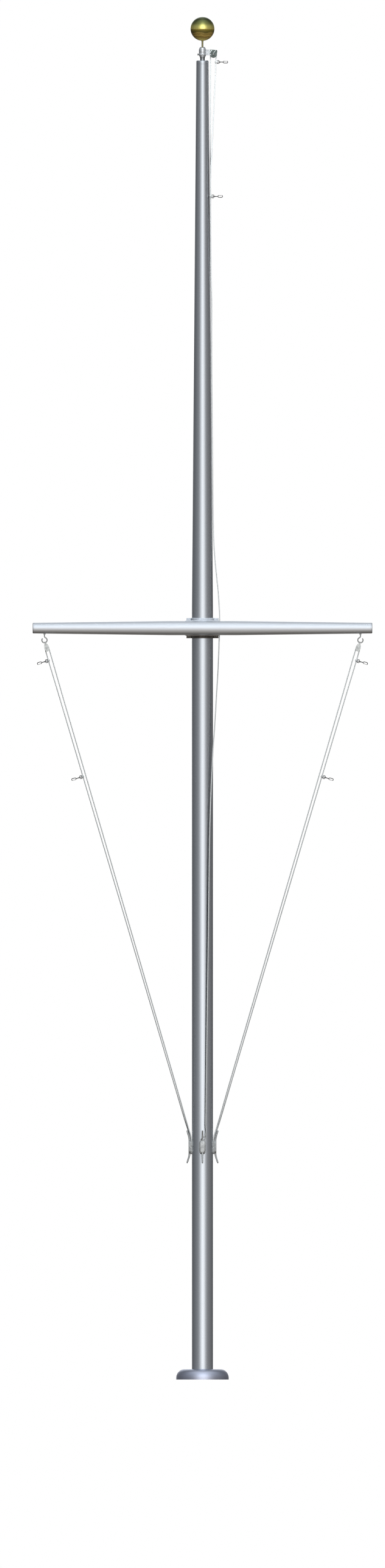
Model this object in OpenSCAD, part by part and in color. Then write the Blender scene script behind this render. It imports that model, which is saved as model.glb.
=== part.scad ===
// Nautical flagpole: a tapered aluminium mast with a yardarm, a revolving
// truck, a gold ball, three halyards with swivel snaps, and three cleats.
// Origin at the centre of the mast where it meets the ground, +Z up,
// the yardarm along X and in front of the mast, on the -Y side.

/* [Mast] */
// Height of the mast above ground
mast_h = 9144; // [9100:1:9200]
// Outside diameter at the ground
mast_d = 147.2; // [144:0.1:150]
// Outside diameter just below the top chamfer
mast_top_d = 85.6; // [82:0.1:88]
// Height at which the straight butt ends and the taper starts
taper_z = 5352; // [5300:1:5400]
// Wall thickness of the tube
mast_wall = 4.8; // [4:0.1:6]
// Length of the plug that shows above the tube
plug_h = 24; // [20:1:30]

/* [Collar] */
// Outside diameter of the flash collar
collar_d = 365; // [340:1:390]
// Height of the flash collar
collar_h = 72; // [60:1:80]
// Diameter of the flat ring on top of the collar
collar_top_d = 250; // [220:1:270]
// Sheet thickness of the collar
collar_wall = 3; // [2:0.5:5]

/* [Truck and ball] */
// Diameter of the ball
ball_d = 167; // [150:1:180]
// Height of the centre of the ball above the mast top
ball_rise = 219; // [215:1:225]
// Diameter of the rod under the ball
rod_d = 13; // [10:0.5:15]
// Distance from the mast axis to the axle of the truck sheave
arm_reach = 76; // [74:1:80]
// Radius at which the rope runs on the truck sheave
truck_groove_r = 20; // [18:0.5:22]

/* [Yardarm] */
// Length of the yardarm over its end caps
yard_len = 2357; // [2300:1:2400]
// Height of the yardarm axis
yard_z = 5209; // [5190:1:5220]
// Distance of the yardarm axis in front of the mast axis
yard_y = 130; // [129:1:134]
// Diameter of the yardarm at the middle
yard_d = 98.3; // [95:0.1:99]
// Diameter of the yardarm at its ends
yard_end_d = 74.5; // [70:0.1:80]
// Half length of the straight middle of the yardarm
yard_mid = 232; // [200:1:260]
// Wall thickness of the yardarm
yard_wall = 4; // [3:0.5:6]

/* [Rigging] */
// Diameter of the halyard rope
rope_d = 8; // [7:0.5:8]
// Lean of the yard halyards away from upright, in degrees
lean = 16.5; // [16:0.1:17]
// Distance of a block sheave from the mast axis
block_x = 1081; // [1078:1:1084]
// Height of a block sheave
block_z = 5076; // [5072:1:5080]
// Radius at which the rope runs on a block sheave
block_groove_r = 12.5; // [12:0.1:13]
// Height of the middle of the cleats
cleat_z = 1614; // [1600:1:1630]
// Length of a cleat over its horns
cleat_len = 228; // [220:1:236]

/* [Hidden] */
$fn = 96;
rope_r = rope_d / 2;
mast_r = mast_d / 2;
mast_top_r = mast_top_d / 2;
plug_z = mast_h - plug_h;

neck_z = mast_h + 23;         // top of the spindle neck, where the truck starts
truck_low = neck_z + 0.5;
band_low = neck_z + 12.5;
band_top = neck_z + 25;
body_top = neck_z + 54;
cap_top = neck_z + 70.5;
pin_r = 10;                   // spindle pin inside the truck
truck_bore_r = 10.5;
sheave_z = neck_z + 19.5;
sheave_r = truck_groove_r + 4.5;
sheave_half = 6.5;            // half the thickness of the truck sheave
cheek_in = 8;                 // inner face of an arm cheek, from the middle
cheek_out = 13;
ball_z = mast_h + ball_rise;

ring_r = 18;                  // mean radius of an eye bolt's ring
eye_d = 8;                    // rod the eye bolts are bent from
eye_rise = 52;                // from the block sheave to the ring centre
eye_x = block_x + eye_rise * sin(lean);
eye_z = block_z + eye_rise * cos(lean);
saddle_half = 111.5;          // half width of the clamp plates
saddle_h = 140.5;
cradle_half = 122;            // half length of the cradle under the yardarm
cradle_t = 4;
web_h = 90;                   // height of the two webs between the cradle and the clamp
neck_r = 13;                  // rounding of a cleat's neck
neck_reach = 31;              // from a cleat's middle to the centre of its neck's rounding
pad_back = 9.2;               // gap under a cleat's pad, where the rope runs
pad_front = 22.4;

// [name, rope point x, y, z, heading of the snap from +X about Z, dip, roll]
snap_drop = [88 / cos(lean), 892 / cos(lean)];
function side_snap(side, n) = let (d = snap_drop[n])
    [side * (block_x - d * sin(lean) + block_groove_r * cos(lean)),
     yard_line_y(d), block_z - d * cos(lean) - block_groove_r * sin(lean)];
function yard_line_y(d) = -yard_y * (1 - d * cos(lean) / (block_z - cleat_z - 100));
SNAPS = [
    ["mast_upper", [93.6, -2, 9133], 0, 0, 0],
    ["mast_lower", [57, -30, 8202], 0, 0, 0],
    ["left_upper", side_snap(-1, 0), 180, lean, 180],
    ["left_lower", side_snap(-1, 1), 180, lean, 180],
    ["right_upper", side_snap(1, 0), 0, lean, 180],
    ["right_lower", side_snap(1, 1), 0, lean, 180]];

// ---- shared shapes ----

// a cylinder of radius r between two points
module rod(a, b, r) {
    v = b - a;
    translate(a) rotate([0, acos(v[2] / norm(v)), atan2(v[1], v[0])]) cylinder(r = r, h = norm(v));
}

// a long rounded outline, lying along x from a to b, of radius r
module stadium(a, b, r) {
    translate([a, -r]) square([b - a, 2 * r]);
    translate([a, 0]) circle(r);
    translate([b, 0]) circle(r);
}

// a flat outline in x and z, thick along y
module slab(half) {
    rotate([90, 0, 0]) translate([0, 0, -half]) linear_extrude(2 * half) children();
}

// a round tube swept along a list of points, each ring square to the route
function unit(v) = v / norm(v);
function way(p, i) = unit(p[min(i + 1, len(p) - 1)] - p[max(i - 1, 0)]);
function carried(n, t) = unit(n - t * (n * t));
function frames(p, i, n) = i == len(p) ? []
    : let (t = way(p, i), m = carried(n, t)) concat([[m, cross(t, m)]], frames(p, i + 1, m));
module rope(p, r, first_normal, sides = 8) {
    f = frames(p, 0, first_normal);
    n = len(p);
    rings = [for (i = [0:n - 1], k = [0:sides - 1]) let (a = 360 * k / sides)
        p[i] + r * (cos(a) * f[i][0] + sin(a) * f[i][1])];
    walls = [for (i = [0:n - 2], k = [0:sides - 1]) let (m = (k + 1) % sides)
        each [[i * sides + k, (i + 1) * sides + k, (i + 1) * sides + m],
              [i * sides + k, (i + 1) * sides + m, i * sides + m]]];
    ends = [[for (k = [0:sides - 1]) k], [for (k = [sides - 1:-1:0]) (n - 1) * sides + k]];
    polyhedron(rings, concat(walls, ends), convexity = 10);
}

// ---- mast ----

module mast() {
    color("silver") rotate_extrude() polygon([
        [mast_r, 0], [mast_r, taper_z], [mast_top_r, plug_z],
        [mast_top_r - mast_wall, plug_z], [mast_r - mast_wall, taper_z], [mast_r - mast_wall, 0]]);
}

// closes the tube; its spigot sits in the bore and its rim is chamfered
module mast_top_plug() {
    spigot_r = mast_top_r - mast_wall - 0.3;
    color("silver") rotate_extrude() polygon([
        [12.6, plug_z - 60], [spigot_r, plug_z - 60], [spigot_r, plug_z], [mast_top_r, plug_z],
        [mast_top_r, mast_h - 16], [37, mast_h], [12.6, mast_h]]);
}

module flash_collar() {
    flat_r = collar_top_d / 2;
    rim_r = collar_d / 2;
    bore_r = mast_r + 1.2;
    t = collar_wall;
    outer = [for (a = [0:6:90])
        [flat_r + (rim_r - flat_r) * cos(a), 12 + (collar_h - 12) * sin(a)]];
    inner = [for (a = [90:-6:0])
        [flat_r + (rim_r - flat_r - t) * cos(a), 12 + (collar_h - 12 - t) * sin(a)]];
    color("lightsteelblue") rotate_extrude() polygon(concat(
        [[rim_r, 0]], outer, [[bore_r, collar_h], [bore_r, collar_h - t]], inner, [[rim_r - t, 0]]));
}

// ---- truck and ball ----

module truck_spindle() {
    color("gainsboro") rotate_extrude() polygon([
        [0, mast_h - 70], [12.5, mast_h - 70], [12.5, mast_h + 0.1], [16.8, mast_h + 0.1],
        [18.75, neck_z], [pin_r, neck_z], [pin_r, body_top + 12], [rod_d / 2 + 0.1, body_top + 12],
        [rod_d / 2 + 0.1, body_top], [0, body_top]]);
}

module ball_rod() {
    color("darkgoldenrod") translate([0, 0, body_top + 0.5])
        cylinder(d = rod_d, h = ball_z - ball_d / 2 + 22 - body_top - 0.5);
}

module ball() {
    color("gold") difference() {
        translate([0, 0, ball_z]) sphere(d = ball_d);
        translate([0, 0, ball_z]) sphere(d = ball_d - 3);
        translate([0, 0, ball_z - ball_d]) cylinder(d = rod_d + 0.2, h = ball_d);
    }
}

// the cast housing that turns on the spindle, with the arm that carries the sheave
module truck_body() {
    color("darkgray") difference() {
        union() {
            rotate_extrude() polygon([
                [0, truck_low], [18.9, truck_low], [25, band_low], [25.3, band_low],
                [25.3, band_top], [24.7, band_top], [24.7, body_top], [0, body_top]]);
            for (side = [-1, 1]) translate([0, side * (cheek_in + cheek_out) / 2, 0])
                slab((cheek_out - cheek_in) / 2) arm_outline();
            slab(cheek_out) polygon([
                [20, sheave_z + 27], [100, sheave_z + 26], [100, sheave_z + 30], [20, sheave_z + 34]]);
        }
        translate([0, 0, truck_low - 1]) cylinder(r = truck_bore_r, h = 80);
        rod([arm_reach, -30, sheave_z], [arm_reach, 30, sheave_z], 4.1);
        for (side = [-1, 1]) rod([0, side * 9, band_low + 6], [0, side * 40, band_low + 6], 3.1);
        rod([-9, 0, band_low + 6], [-40, 0, band_low + 6], 3.1);
    }
}

// side view of an arm cheek, with a round lobe over the sheave
module arm_outline() {
    translate([arm_reach, sheave_z]) circle(r = sheave_r - 1);
    polygon([[14, sheave_z - 5.5], [100, sheave_z - 5.5], [103.5, sheave_z + 22], [103.5, sheave_z + 25],
             [100, sheave_z + 30], [20, sheave_z + 34], [14, sheave_z + 34]]);
}

module truck_cap() {
    color("gainsboro") difference() {
        translate([0, 0, body_top + 0.05]) cylinder(r1 = 22.5, r2 = 17.3, h = cap_top - body_top);
        translate([0, 0, body_top - 1]) cylinder(r = truck_bore_r, h = 13.6);
        translate([0, 0, body_top - 1]) cylinder(r = rod_d / 2 + 0.8, h = 40);
    }
}

module truck_set_screws() {
    color("dimgray") {
        rod([-12, 0, band_low + 6], [-29, 0, band_low + 6], 3);
        rod([-26, 0, band_low + 6], [-35, 0, band_low + 6], 6);
        for (side = [-1, 1]) rod([0, side * 12, band_low + 6], [0, side * 27, band_low + 6], 3);
    }
}

module truck_sheave_axle() {
    color("dimgray") {
        rod([arm_reach, -cheek_out - 1, sheave_z], [arm_reach, cheek_out + 1, sheave_z], 4);
        rod([arm_reach, -cheek_out - 4, sheave_z], [arm_reach, -cheek_out - 0.1, sheave_z], 7);
        rod([arm_reach, cheek_out + 0.1, sheave_z], [arm_reach, cheek_out + 4, sheave_z], 7);
    }
}

// a grooved wheel on the y axis
module grooved_wheel(r, half, groove_r, bore_r) {
    rotate([90, 0, 0]) rotate_extrude() difference() {
        translate([bore_r, -half]) square([r - bore_r, 2 * half]);
        translate([groove_r, 0]) circle(rope_r + 0.4, $fn = 48);
        translate([groove_r, -rope_r - 0.4]) square([rope_d, rope_d + 0.8]);
    }
}

module truck_sheave() {
    color("dimgray") translate([arm_reach, 0, sheave_z])
        grooved_wheel(sheave_r, sheave_half, truck_groove_r, 4.4);
}

// ---- yardarm ----

module yardarm() {
    end_z = yard_len / 2 - 12;
    r = yard_d / 2;
    e = yard_end_d / 2;
    color("lightsteelblue") difference() {
        translate([0, -yard_y, yard_z]) rotate([0, 90, 0]) rotate_extrude() polygon([
            [e, -end_z], [r, -yard_mid], [r, yard_mid], [e, end_z],
            [e - yard_wall, end_z], [r - yard_wall, yard_mid],
            [r - yard_wall, -yard_mid], [e - yard_wall, -end_z]]);
        for (side = [-1, 1]) translate([side * eye_x, -yard_y, yard_z - r]) cylinder(d = eye_d + 0.4, h = r);
    }
}

// round plugs with a rolled rim in both ends of the yardarm
module yard_end_caps() {
    e = yard_end_d / 2;
    end_x = yard_len / 2;
    rim = [for (a = [0:15:90]) [e - 6 + 6 * cos(a), end_x - 6 + 6 * sin(a)]];
    outline = concat([[0, end_x - 30], [e - yard_wall - 0.3, end_x - 30],
        [e - yard_wall - 0.3, end_x - 12], [e, end_x - 12]], rim, [[0, end_x]]);
    color("lightsteelblue") for (side = [-1, 1])
        translate([0, -yard_y, yard_z]) rotate([0, side * 90, 0]) rotate_extrude() polygon(outline);
}

// the casting between the yardarm and the mast: half a clamp with a cradle on its front
module yard_saddle() {
    color("darkgray") difference() {
        union() {
            translate([0, 0, yard_z - saddle_h / 2]) difference() {
                cylinder(r = mast_r + 9, h = saddle_h);
                translate([-150, -3, -1]) cube([300, 150, saddle_h + 2]);
            }
            translate([-saddle_half, -13, yard_z - saddle_h / 2]) cube([2 * saddle_half, 10, saddle_h]);
            translate([-cradle_half, -yard_y, yard_z]) rotate([0, 90, 0]) difference() {
                cylinder(r = yard_d / 2 + cradle_t, h = 2 * cradle_half);
                translate([-100, -200, -1]) cube([200, 196, 2 * cradle_half + 2]);
            }
            for (side = [-1, 1]) translate([side * 55 - 6, -yard_y + 40, yard_z - web_h / 2])
                cube([12, yard_y - 40 - 3, web_h]);
        }
        translate([0, 0, yard_z - saddle_h]) cylinder(r = mast_r + 0.1, h = 2 * saddle_h);
        translate([-200, -yard_y, yard_z]) rotate([0, 90, 0]) cylinder(r = yard_d / 2 + 0.1, h = 400);
        clamp_bolt_places() rod([0, -30, 0], [0, 30, 0], 5.3);
    }
}

module clamp_bolt_places() {
    for (side = [-1, 1], up = [-1, 1])
        translate([side * 96, 0, yard_z + up * (saddle_h / 2 - 22)]) children();
}

// the rear half of the clamp
module yard_clamp_band() {
    color("darkgray") difference() {
        union() {
            translate([0, 0, yard_z - saddle_h / 2]) difference() {
                cylinder(r = mast_r + 9, h = saddle_h);
                translate([-150, -147, -1]) cube([300, 150, saddle_h + 2]);
            }
            translate([-saddle_half, 3, yard_z - saddle_h / 2]) cube([2 * saddle_half, 10, saddle_h]);
        }
        translate([0, 0, yard_z - saddle_h]) cylinder(r = mast_r + 0.1, h = 2 * saddle_h);
        clamp_bolt_places() rod([0, -30, 0], [0, 30, 0], 5.3);
    }
}

module yard_clamp_bolts() {
    color("gainsboro") clamp_bolt_places() {
        rod([0, -21, 0], [0, 24, 0], 5);
        rotate([90, 0, 0]) translate([0, 0, 13.1]) cylinder(r = 9.2, h = 7, $fn = 6);
        rotate([-90, 0, 0]) translate([0, 0, 13.1]) cylinder(r = 9.2, h = 8, $fn = 6);
    }
}

// open rings under the yardarm, each bent from one rod
module eye_bolts() {
    color("dimgray") for (side = [-1, 1]) translate([side * eye_x, -yard_y, eye_z]) {
        rotate([90, 0, 0]) rotate([0, 0, side > 0 ? 90 : -215])
            rotate_extrude(angle = 305) translate([ring_r, 0]) circle(d = eye_d, $fn = 32);
        translate([0, 0, ring_r]) cylinder(d = eye_d, h = yard_z - eye_z - ring_r - 12);
    }
}

// ---- blocks ----

module at_block(side) {
    translate([side * block_x, -yard_y, block_z]) rotate([0, side * lean, 0]) children();
}

// two oval cheeks, the pin between them, and a bail over the ring of the eye bolt
module block_shell(side) {
    color("dimgray") at_block(side) {
        for (face = [-1, 1]) translate([0, face * 7.5, 0]) slab(1.5)
            rotate(90) stadium(-12, 12, 17.5);
        rod([0, -11, 0], [0, 11, 0], 3);
        for (up = [-1, 1]) rod([0, -7, up * 25], [0, 7, up * 25], 3);
        for (face = [-1, 1]) rod([0, face * 7.5, 22], [0, face * 7.5, 34], 2);
        translate([0, 0, 34]) rotate([90, 0, 90]) rotate_extrude(angle = 180)
            translate([7.5, 0]) circle(r = 2, $fn = 32);
    }
}
module block_shell_left() { block_shell(-1); }
module block_shell_right() { block_shell(1); }

module block_sheave(side) {
    color("dimgray") at_block(side)
        grooved_wheel(block_groove_r + 4, 5.4, block_groove_r, 3.4);
}
module block_sheave_left() { block_sheave(-1); }
module block_sheave_right() { block_sheave(1); }

// ---- cleats ----

// a flat outline drawn in z and y, raised outward from the mast: from low to high, in mm off its surface
module off_mast(low, high) {
    translate([mast_r + low, 0, 0]) rotate([0, 90, 0]) linear_extrude(high - low) children();
}

// an oval pad on a narrower neck, with a horn at each end and a flange under the rope
module cleat(heading) {
    horn = [[pad_back + 6.6, 44, 6.4], [20.6, 74, 6.2], [32.4, cleat_len / 2 - 5, 5]];
    color("gray") difference() {
        translate([0, 0, cleat_z]) rotate([0, 0, heading]) {
            off_mast(-8, 0.4) stadium(-33, 33, 21);
            off_mast(-1, pad_back + 1) stadium(-neck_reach, neck_reach, neck_r);
            off_mast(pad_back, pad_front) stadium(-25, 25, 23);
            for (up = [-1, 1], k = [0, 1]) {
                a = [mast_r + horn[k][0], 0, up * horn[k][1]];
                b = [mast_r + horn[k + 1][0], 0, up * horn[k + 1][1]];
                translate(a) rotate([0, atan2(b[0] - a[0], b[2] - a[2]), 0])
                    cylinder(r1 = horn[k][2], r2 = horn[k + 1][2], h = norm(b - a), $fn = 32);
                translate(b) sphere(r = horn[k + 1][2], $fn = 32);
            }
        }
        translate([0, 0, cleat_z - 200]) cylinder(r = mast_r + 0.1, h = 400);
    }
}
module cleat_front() { cleat(-90); }
module cleat_left() { cleat(180); }
module cleat_right() { cleat(0); }

// ---- halyards ----

// half a turn round the neck of a cleat, from the end of the rope: [sideways, outward, up]
lane = neck_r + rope_r + 0.5;
lane_out = 0.8 + rope_r;
TURN = concat([for (w = [-8, -20]) [-lane, lane_out, w]],
    [for (a = [180:22.5:360]) [lane * cos(a), lane_out, lane * sin(a) - neck_reach]],
    [for (w = [-12, 12, 31]) [lane, lane_out, w]]);
// where the two falls come to a cleat: the first leads up from the turn, the second ends beside the neck
LEAD_FRONT = [[18.5, 4.9, 46], [21, 5.5, 60], [24.5, 8.5, 76], [26, 12.5, 100]];
LEAD_SIDE = [[18.5, 4.9, 46], [20, 7.5, 64], [17, 14, 86], [11.5, 23, 108], [7, 41, 160]];
END_FRONT = [[22, 5.5, 100], [16, 4.9, 76], [4, 4.8, 64], [-8, 4.8, 56], [-15.5, 4.8, 44],
    [-lane, lane_out, 30], [-lane, lane_out, 6]];
END_SIDE = [[-6, 19, 114], [-10, 12.5, 95], [-13, 8, 78], [-15.5, 5.4, 60], [-17.3, 4.8, 44],
    [-lane, lane_out, 30], [-lane, lane_out, 6]];
function on_cleat(p, heading, z) = let (out = mast_r + p[1])
    [out * cos(heading) - p[0] * sin(heading), out * sin(heading) + p[0] * cos(heading), z + p[2]];

// the fall that carries the snaps, from the front cleat up to the truck sheave
MAST_FALL = [[23, -88, 1760], [24, -86, 1900], [32, -84, 2500], [41, -81, 3100], [52, -73, 3867],
    [74, -60, 4380], [83, -56, 4500], [91, -52, 4627], [98, -48, 4753], [106, -44, 4880],
    [112, -41, 5007], [116, -38, 5133], [119.5, -36, 5260], [117, -33, 5344], [108.5, -30, 5470],
    [95.5, -26, 5597], [84, -20, 5724], [77, -14, 5850], [73, -10, 6100], [69, -7, 6600],
    [65, -6, 7100], [65.5, -7, 7369], [65, -9, 7495], [60.5, -14, 7622], [58, -24, 7875],
    [57, -30, 8128], [57, -30, 8202], [57, -30, 8255], [58.7, -26, 8382], [65.9, -19, 8508], [71, -13, 8635],
    [76.9, -8, 8761], [82.4, -5, 8888], [90.8, -2, 9057], [92.6, -2, 9133], [95.9, 0, 9166]];
// the other fall, from the truck sheave down to the front cleat
MAST_RETURN = [[56, 0, 9166], [56, 1, 9080], [56, 4, 8800], [55, 9, 8500], [55, 13, 8255], [55, 13, 8128],
    [57, 9, 7875], [60.5, 6, 7622], [64, 6, 7495], [64.5, 6, 7369], [64.5, 6, 7100], [69, 4, 6600],
    [73, 2, 6100], [77, -2, 5850], [84, -8, 5724], [95.5, -14, 5597], [108.5, -18, 5470],
    [117, -21, 5344], [119.5, -24, 5260], [116, -26, 5133], [112, -29, 5007], [106, -32, 4880],
    [98, -36, 4753], [91, -40, 4627], [83, -44, 4500], [74, -48, 4380], [52, -62, 3867],
    [41, -70, 3100], [33, -74, 2500], [26, -76, 1900], [24, -77, 1760]];
OVER_TRUCK = [for (a = [0:22.5:180])
    [arm_reach + truck_groove_r * cos(a), 0, sheave_z + truck_groove_r * sin(a)]];

module mast_halyard() {
    color("whitesmoke") {
        rope(concat([for (p = concat(TURN, LEAD_FRONT)) on_cleat(p, -90, cleat_z)], MAST_FALL, OVER_TRUCK,
            MAST_RETURN, [for (p = END_FRONT) on_cleat(p, -90, cleat_z)]), rope_r, [1, 0, 0]);
        for (n = [0, 1]) hitch(SNAPS[n]);
    }
}

module yard_halyard(side) {
    heading = side > 0 ? 0 : 180;
    turns = [for (p = concat(TURN, LEAD_SIDE)) on_cleat([side * p[0], p[1], p[2]], heading, cleat_z)];
    ends = [for (p = END_SIDE) on_cleat([side * p[0], p[1], p[2]], heading, cleat_z)];
    up = [side * sin(lean), 0, cos(lean)];
    across = [side * cos(lean), 0, -sin(lean)];
    centre = [side * block_x, -yard_y, block_z];
    low = [side * 97, 0, cleat_z + 114];
    outer = centre + across * block_groove_r;
    inner = centre - across * block_groove_r;
    over = [for (a = [0:22.5:180]) centre + block_groove_r * (across * cos(a) + up * sin(a))];
    fall = [for (k = [1:8]) low + [side * 4, 0, 0] + (outer - low - [side * 4, 0, 0]) * k / 9];
    return = [for (k = [8:-1:1]) low - [side * 5, 0, 0] + (inner - low + [side * 5, 0, 0]) * k / 9];
    color("whitesmoke") {
        rope(concat(turns, fall, over, return, ends), rope_r, [1, 0, 0]);
        for (n = side < 0 ? [2, 3] : [4, 5]) hitch(SNAPS[n]);
    }
}
module yard_halyard_left() { yard_halyard(-1); }
module yard_halyard_right() { yard_halyard(1); }

// ---- swivel snaps: x outward along the shank, the rope through the origin along z ----

module at_snap(s) {
    translate(s[1]) rotate([0, s[3], s[2]]) rotate([s[4], 0, 0]) children();
}

// the loop of rope that ties a bail to the halyard
module hitch(s) {
    at_snap(s) translate([2.75, 0, 0]) rotate_extrude() translate([9.75, 0]) circle(r = 2.4, $fn = 24);
}

module bail(s) {
    color("dimgray") at_snap(s) difference() {
        union() {
            slab(2.5) difference() {
                polygon([[4.5, -9], [8.5, -13], [20.5, -13], [24.5, -9], [24.5, 9], [20.5, 13], [8.5, 13], [4.5, 9]]);
                polygon([[9.5, -6], [11.5, -8], [17.5, -8], [19.5, -6], [19.5, 6], [17.5, 8], [11.5, 8], [9.5, 6]]);
            }
            rod([19.5, 0, 0], [27, 0, 0], 5);
        }
        rod([10, 0, 0], [30, 0, 0], 2.6);
    }
}

module hook(s) {
    color("dimgray") at_snap(s) {
        rod([27.5, 0, 0], [51, 0, 0], 3);
        rod([16, 0, 0], [28, 0, 0], 2.2);
        rod([15.5, 0, 0], [18.5, 0, 0], 3.8);
        difference() {
            slab(2.5) {
                difference() {
                    stadium(59.5, 74.5, 9.5);
                    stadium(59.5, 74.5, 4.5);
                    translate([54, 1.5]) square([22, 20]);
                }
                translate([54, 6]) circle(2.6);
            }
            rod([54, -9, 6], [54, 9, 6], 1.2);
        }
    }
}

// the sprung leaf that closes a hook, with two ears on its own pin
module gate(s) {
    color("silver") at_snap(s) {
        translate([0, 0, 6]) slab(2) translate([57.2, -1.75]) square([18.3, 3.5]);
        for (face = [-1, 1]) translate([0, face * 3.3, 6]) slab(0.5) stadium(54, 59.5, 2);
        translate([57.8, -3.8, 4.25]) cube([2, 7.6, 3.5]);
        rod([54, -3.8, 6], [54, 3.8, 6], 0.9);
    }
}

module bail_mast_upper() { bail(SNAPS[0]); }
module hook_mast_upper() { hook(SNAPS[0]); }
module gate_mast_upper() { gate(SNAPS[0]); }
module bail_mast_lower() { bail(SNAPS[1]); }
module hook_mast_lower() { hook(SNAPS[1]); }
module gate_mast_lower() { gate(SNAPS[1]); }
module bail_left_upper() { bail(SNAPS[2]); }
module hook_left_upper() { hook(SNAPS[2]); }
module gate_left_upper() { gate(SNAPS[2]); }
module bail_left_lower() { bail(SNAPS[3]); }
module hook_left_lower() { hook(SNAPS[3]); }
module gate_left_lower() { gate(SNAPS[3]); }
module bail_right_upper() { bail(SNAPS[4]); }
module hook_right_upper() { hook(SNAPS[4]); }
module gate_right_upper() { gate(SNAPS[4]); }
module bail_right_lower() { bail(SNAPS[5]); }
module hook_right_lower() { hook(SNAPS[5]); }
module gate_right_lower() { gate(SNAPS[5]); }

mast();
mast_top_plug();
flash_collar();
truck_spindle();
ball_rod();
ball();
yardarm();
yard_end_caps();
yard_saddle();
yard_clamp_band();
yard_clamp_bolts();
eye_bolts();
block_shell_left();
block_shell_right();
block_sheave_left();
block_sheave_right();
truck_body();
truck_cap();
truck_set_screws();
truck_sheave_axle();
truck_sheave();
cleat_front();
cleat_left();
cleat_right();
mast_halyard();
yard_halyard_left();
yard_halyard_right();
bail_mast_upper();
hook_mast_upper();
gate_mast_upper();
bail_mast_lower();
hook_mast_lower();
gate_mast_lower();
bail_left_upper();
hook_left_upper();
gate_left_upper();
bail_left_lower();
hook_left_lower();
gate_left_lower();
bail_right_upper();
hook_right_upper();
gate_right_upper();
bail_right_lower();
hook_right_lower();
gate_right_lower();
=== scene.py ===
"""Visual model of a nautical flagpole: satin aluminium mast and yardarm, revolving truck, gold ball,
rope halyards with swivel snaps, cast cleats and a spun collar at the ground."""
import math

import bmesh
import bpy
import numpy as np
from mathutils import Matrix, Vector


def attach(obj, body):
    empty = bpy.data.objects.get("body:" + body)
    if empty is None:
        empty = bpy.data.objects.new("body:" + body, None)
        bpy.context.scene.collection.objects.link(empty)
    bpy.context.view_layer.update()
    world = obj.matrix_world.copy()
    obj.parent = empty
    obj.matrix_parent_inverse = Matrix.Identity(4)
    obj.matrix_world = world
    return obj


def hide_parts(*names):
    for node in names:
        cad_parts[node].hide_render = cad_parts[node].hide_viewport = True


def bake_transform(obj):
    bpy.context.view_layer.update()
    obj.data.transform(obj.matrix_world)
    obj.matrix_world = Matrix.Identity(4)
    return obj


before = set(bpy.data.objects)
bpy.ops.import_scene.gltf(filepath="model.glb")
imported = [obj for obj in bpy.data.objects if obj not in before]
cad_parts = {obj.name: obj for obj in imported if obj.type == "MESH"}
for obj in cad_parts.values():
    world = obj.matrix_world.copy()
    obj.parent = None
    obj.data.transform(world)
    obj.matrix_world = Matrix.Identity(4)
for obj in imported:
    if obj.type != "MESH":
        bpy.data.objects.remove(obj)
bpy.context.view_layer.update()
scene = bpy.context.scene
MM = 0.001

# ---------------------------------------------------------------- sizes, in metres

MAST_H = 9.144
PLUG_Z = MAST_H - 0.024
MAST_R = 0.0736
MAST_TOP_R = 0.0428
TAPER_Z = 5.352
MAST_WALL = 0.0048
SEAM = 0.0008

COLLAR_R = 0.1825
COLLAR_H = 0.072
COLLAR_FLAT_R = 0.125
COLLAR_WALL = 0.003

NECK_Z = MAST_H + 0.023
BAND_LOW = NECK_Z + 0.0125
BAND_TOP = NECK_Z + 0.025
BODY_TOP = NECK_Z + 0.054
CAP_TOP = NECK_Z + 0.0705
SHEAVE = Vector((0.076, 0, NECK_Z + 0.0195))
GROOVE_R = 0.020
CHEEK_Y = 0.0105
ARM_BASE = SHEAVE.z - 0.0055
ARM_TOP = SHEAVE.z + 0.034
WASHER = 0.0005
BALL_R = 0.0835
BALL_Z = MAST_H + 0.219
ROD_R = 0.0065

YARD = Vector((0, -0.130, 5.209))
YARD_HALF = 2.357 / 2
YARD_R = 0.04915
YARD_END_R = 0.03725
YARD_MID = 0.232
CAP_LEN = 0.012
EAR_X = 0.1115
CLAMP_HALF = 0.07025

ROPE_R = 0.004
LEAN = math.radians(16.5)
BLOCK = Vector((1.081, -0.130, 5.076))
BLOCK_GROOVE_R = 0.0125
EYE_RISE = 0.052
RING_R = 0.018
CLEAT_Z = 1.614
NECK_R = 0.013
NECK_REACH = 0.031


# ---------------------------------------------------------------- mesh helpers

def filleted(points, cut, steps=4, closed=True):
    """The outline with each corner rounded over the distance cut on both sides."""
    out = []
    count = len(points)
    for i, corner in enumerate(points):
        c = Vector(corner)
        if not closed and i in (0, count - 1):
            out.append(c)
            continue
        a, b = Vector(points[i - 1]) - c, Vector(points[(i + 1) % count]) - c
        reach = min(cut, 0.45 * a.length, 0.45 * b.length)
        start, end = c + a.normalized() * reach, c + b.normalized() * reach
        for k in range(steps + 1):
            t = k / steps
            out.append(start * (1 - t) ** 2 + c * 2 * t * (1 - t) + end * t * t)
    return out


def arc(centre, radius, start, end, steps):
    """Points on an arc in a plane, by angles in degrees."""
    angles = [math.radians(start + (end - start) * k / steps) for k in range(steps + 1)]
    return [(centre[0] + radius * math.cos(a), centre[1] + radius * math.sin(a)) for a in angles]


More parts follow.
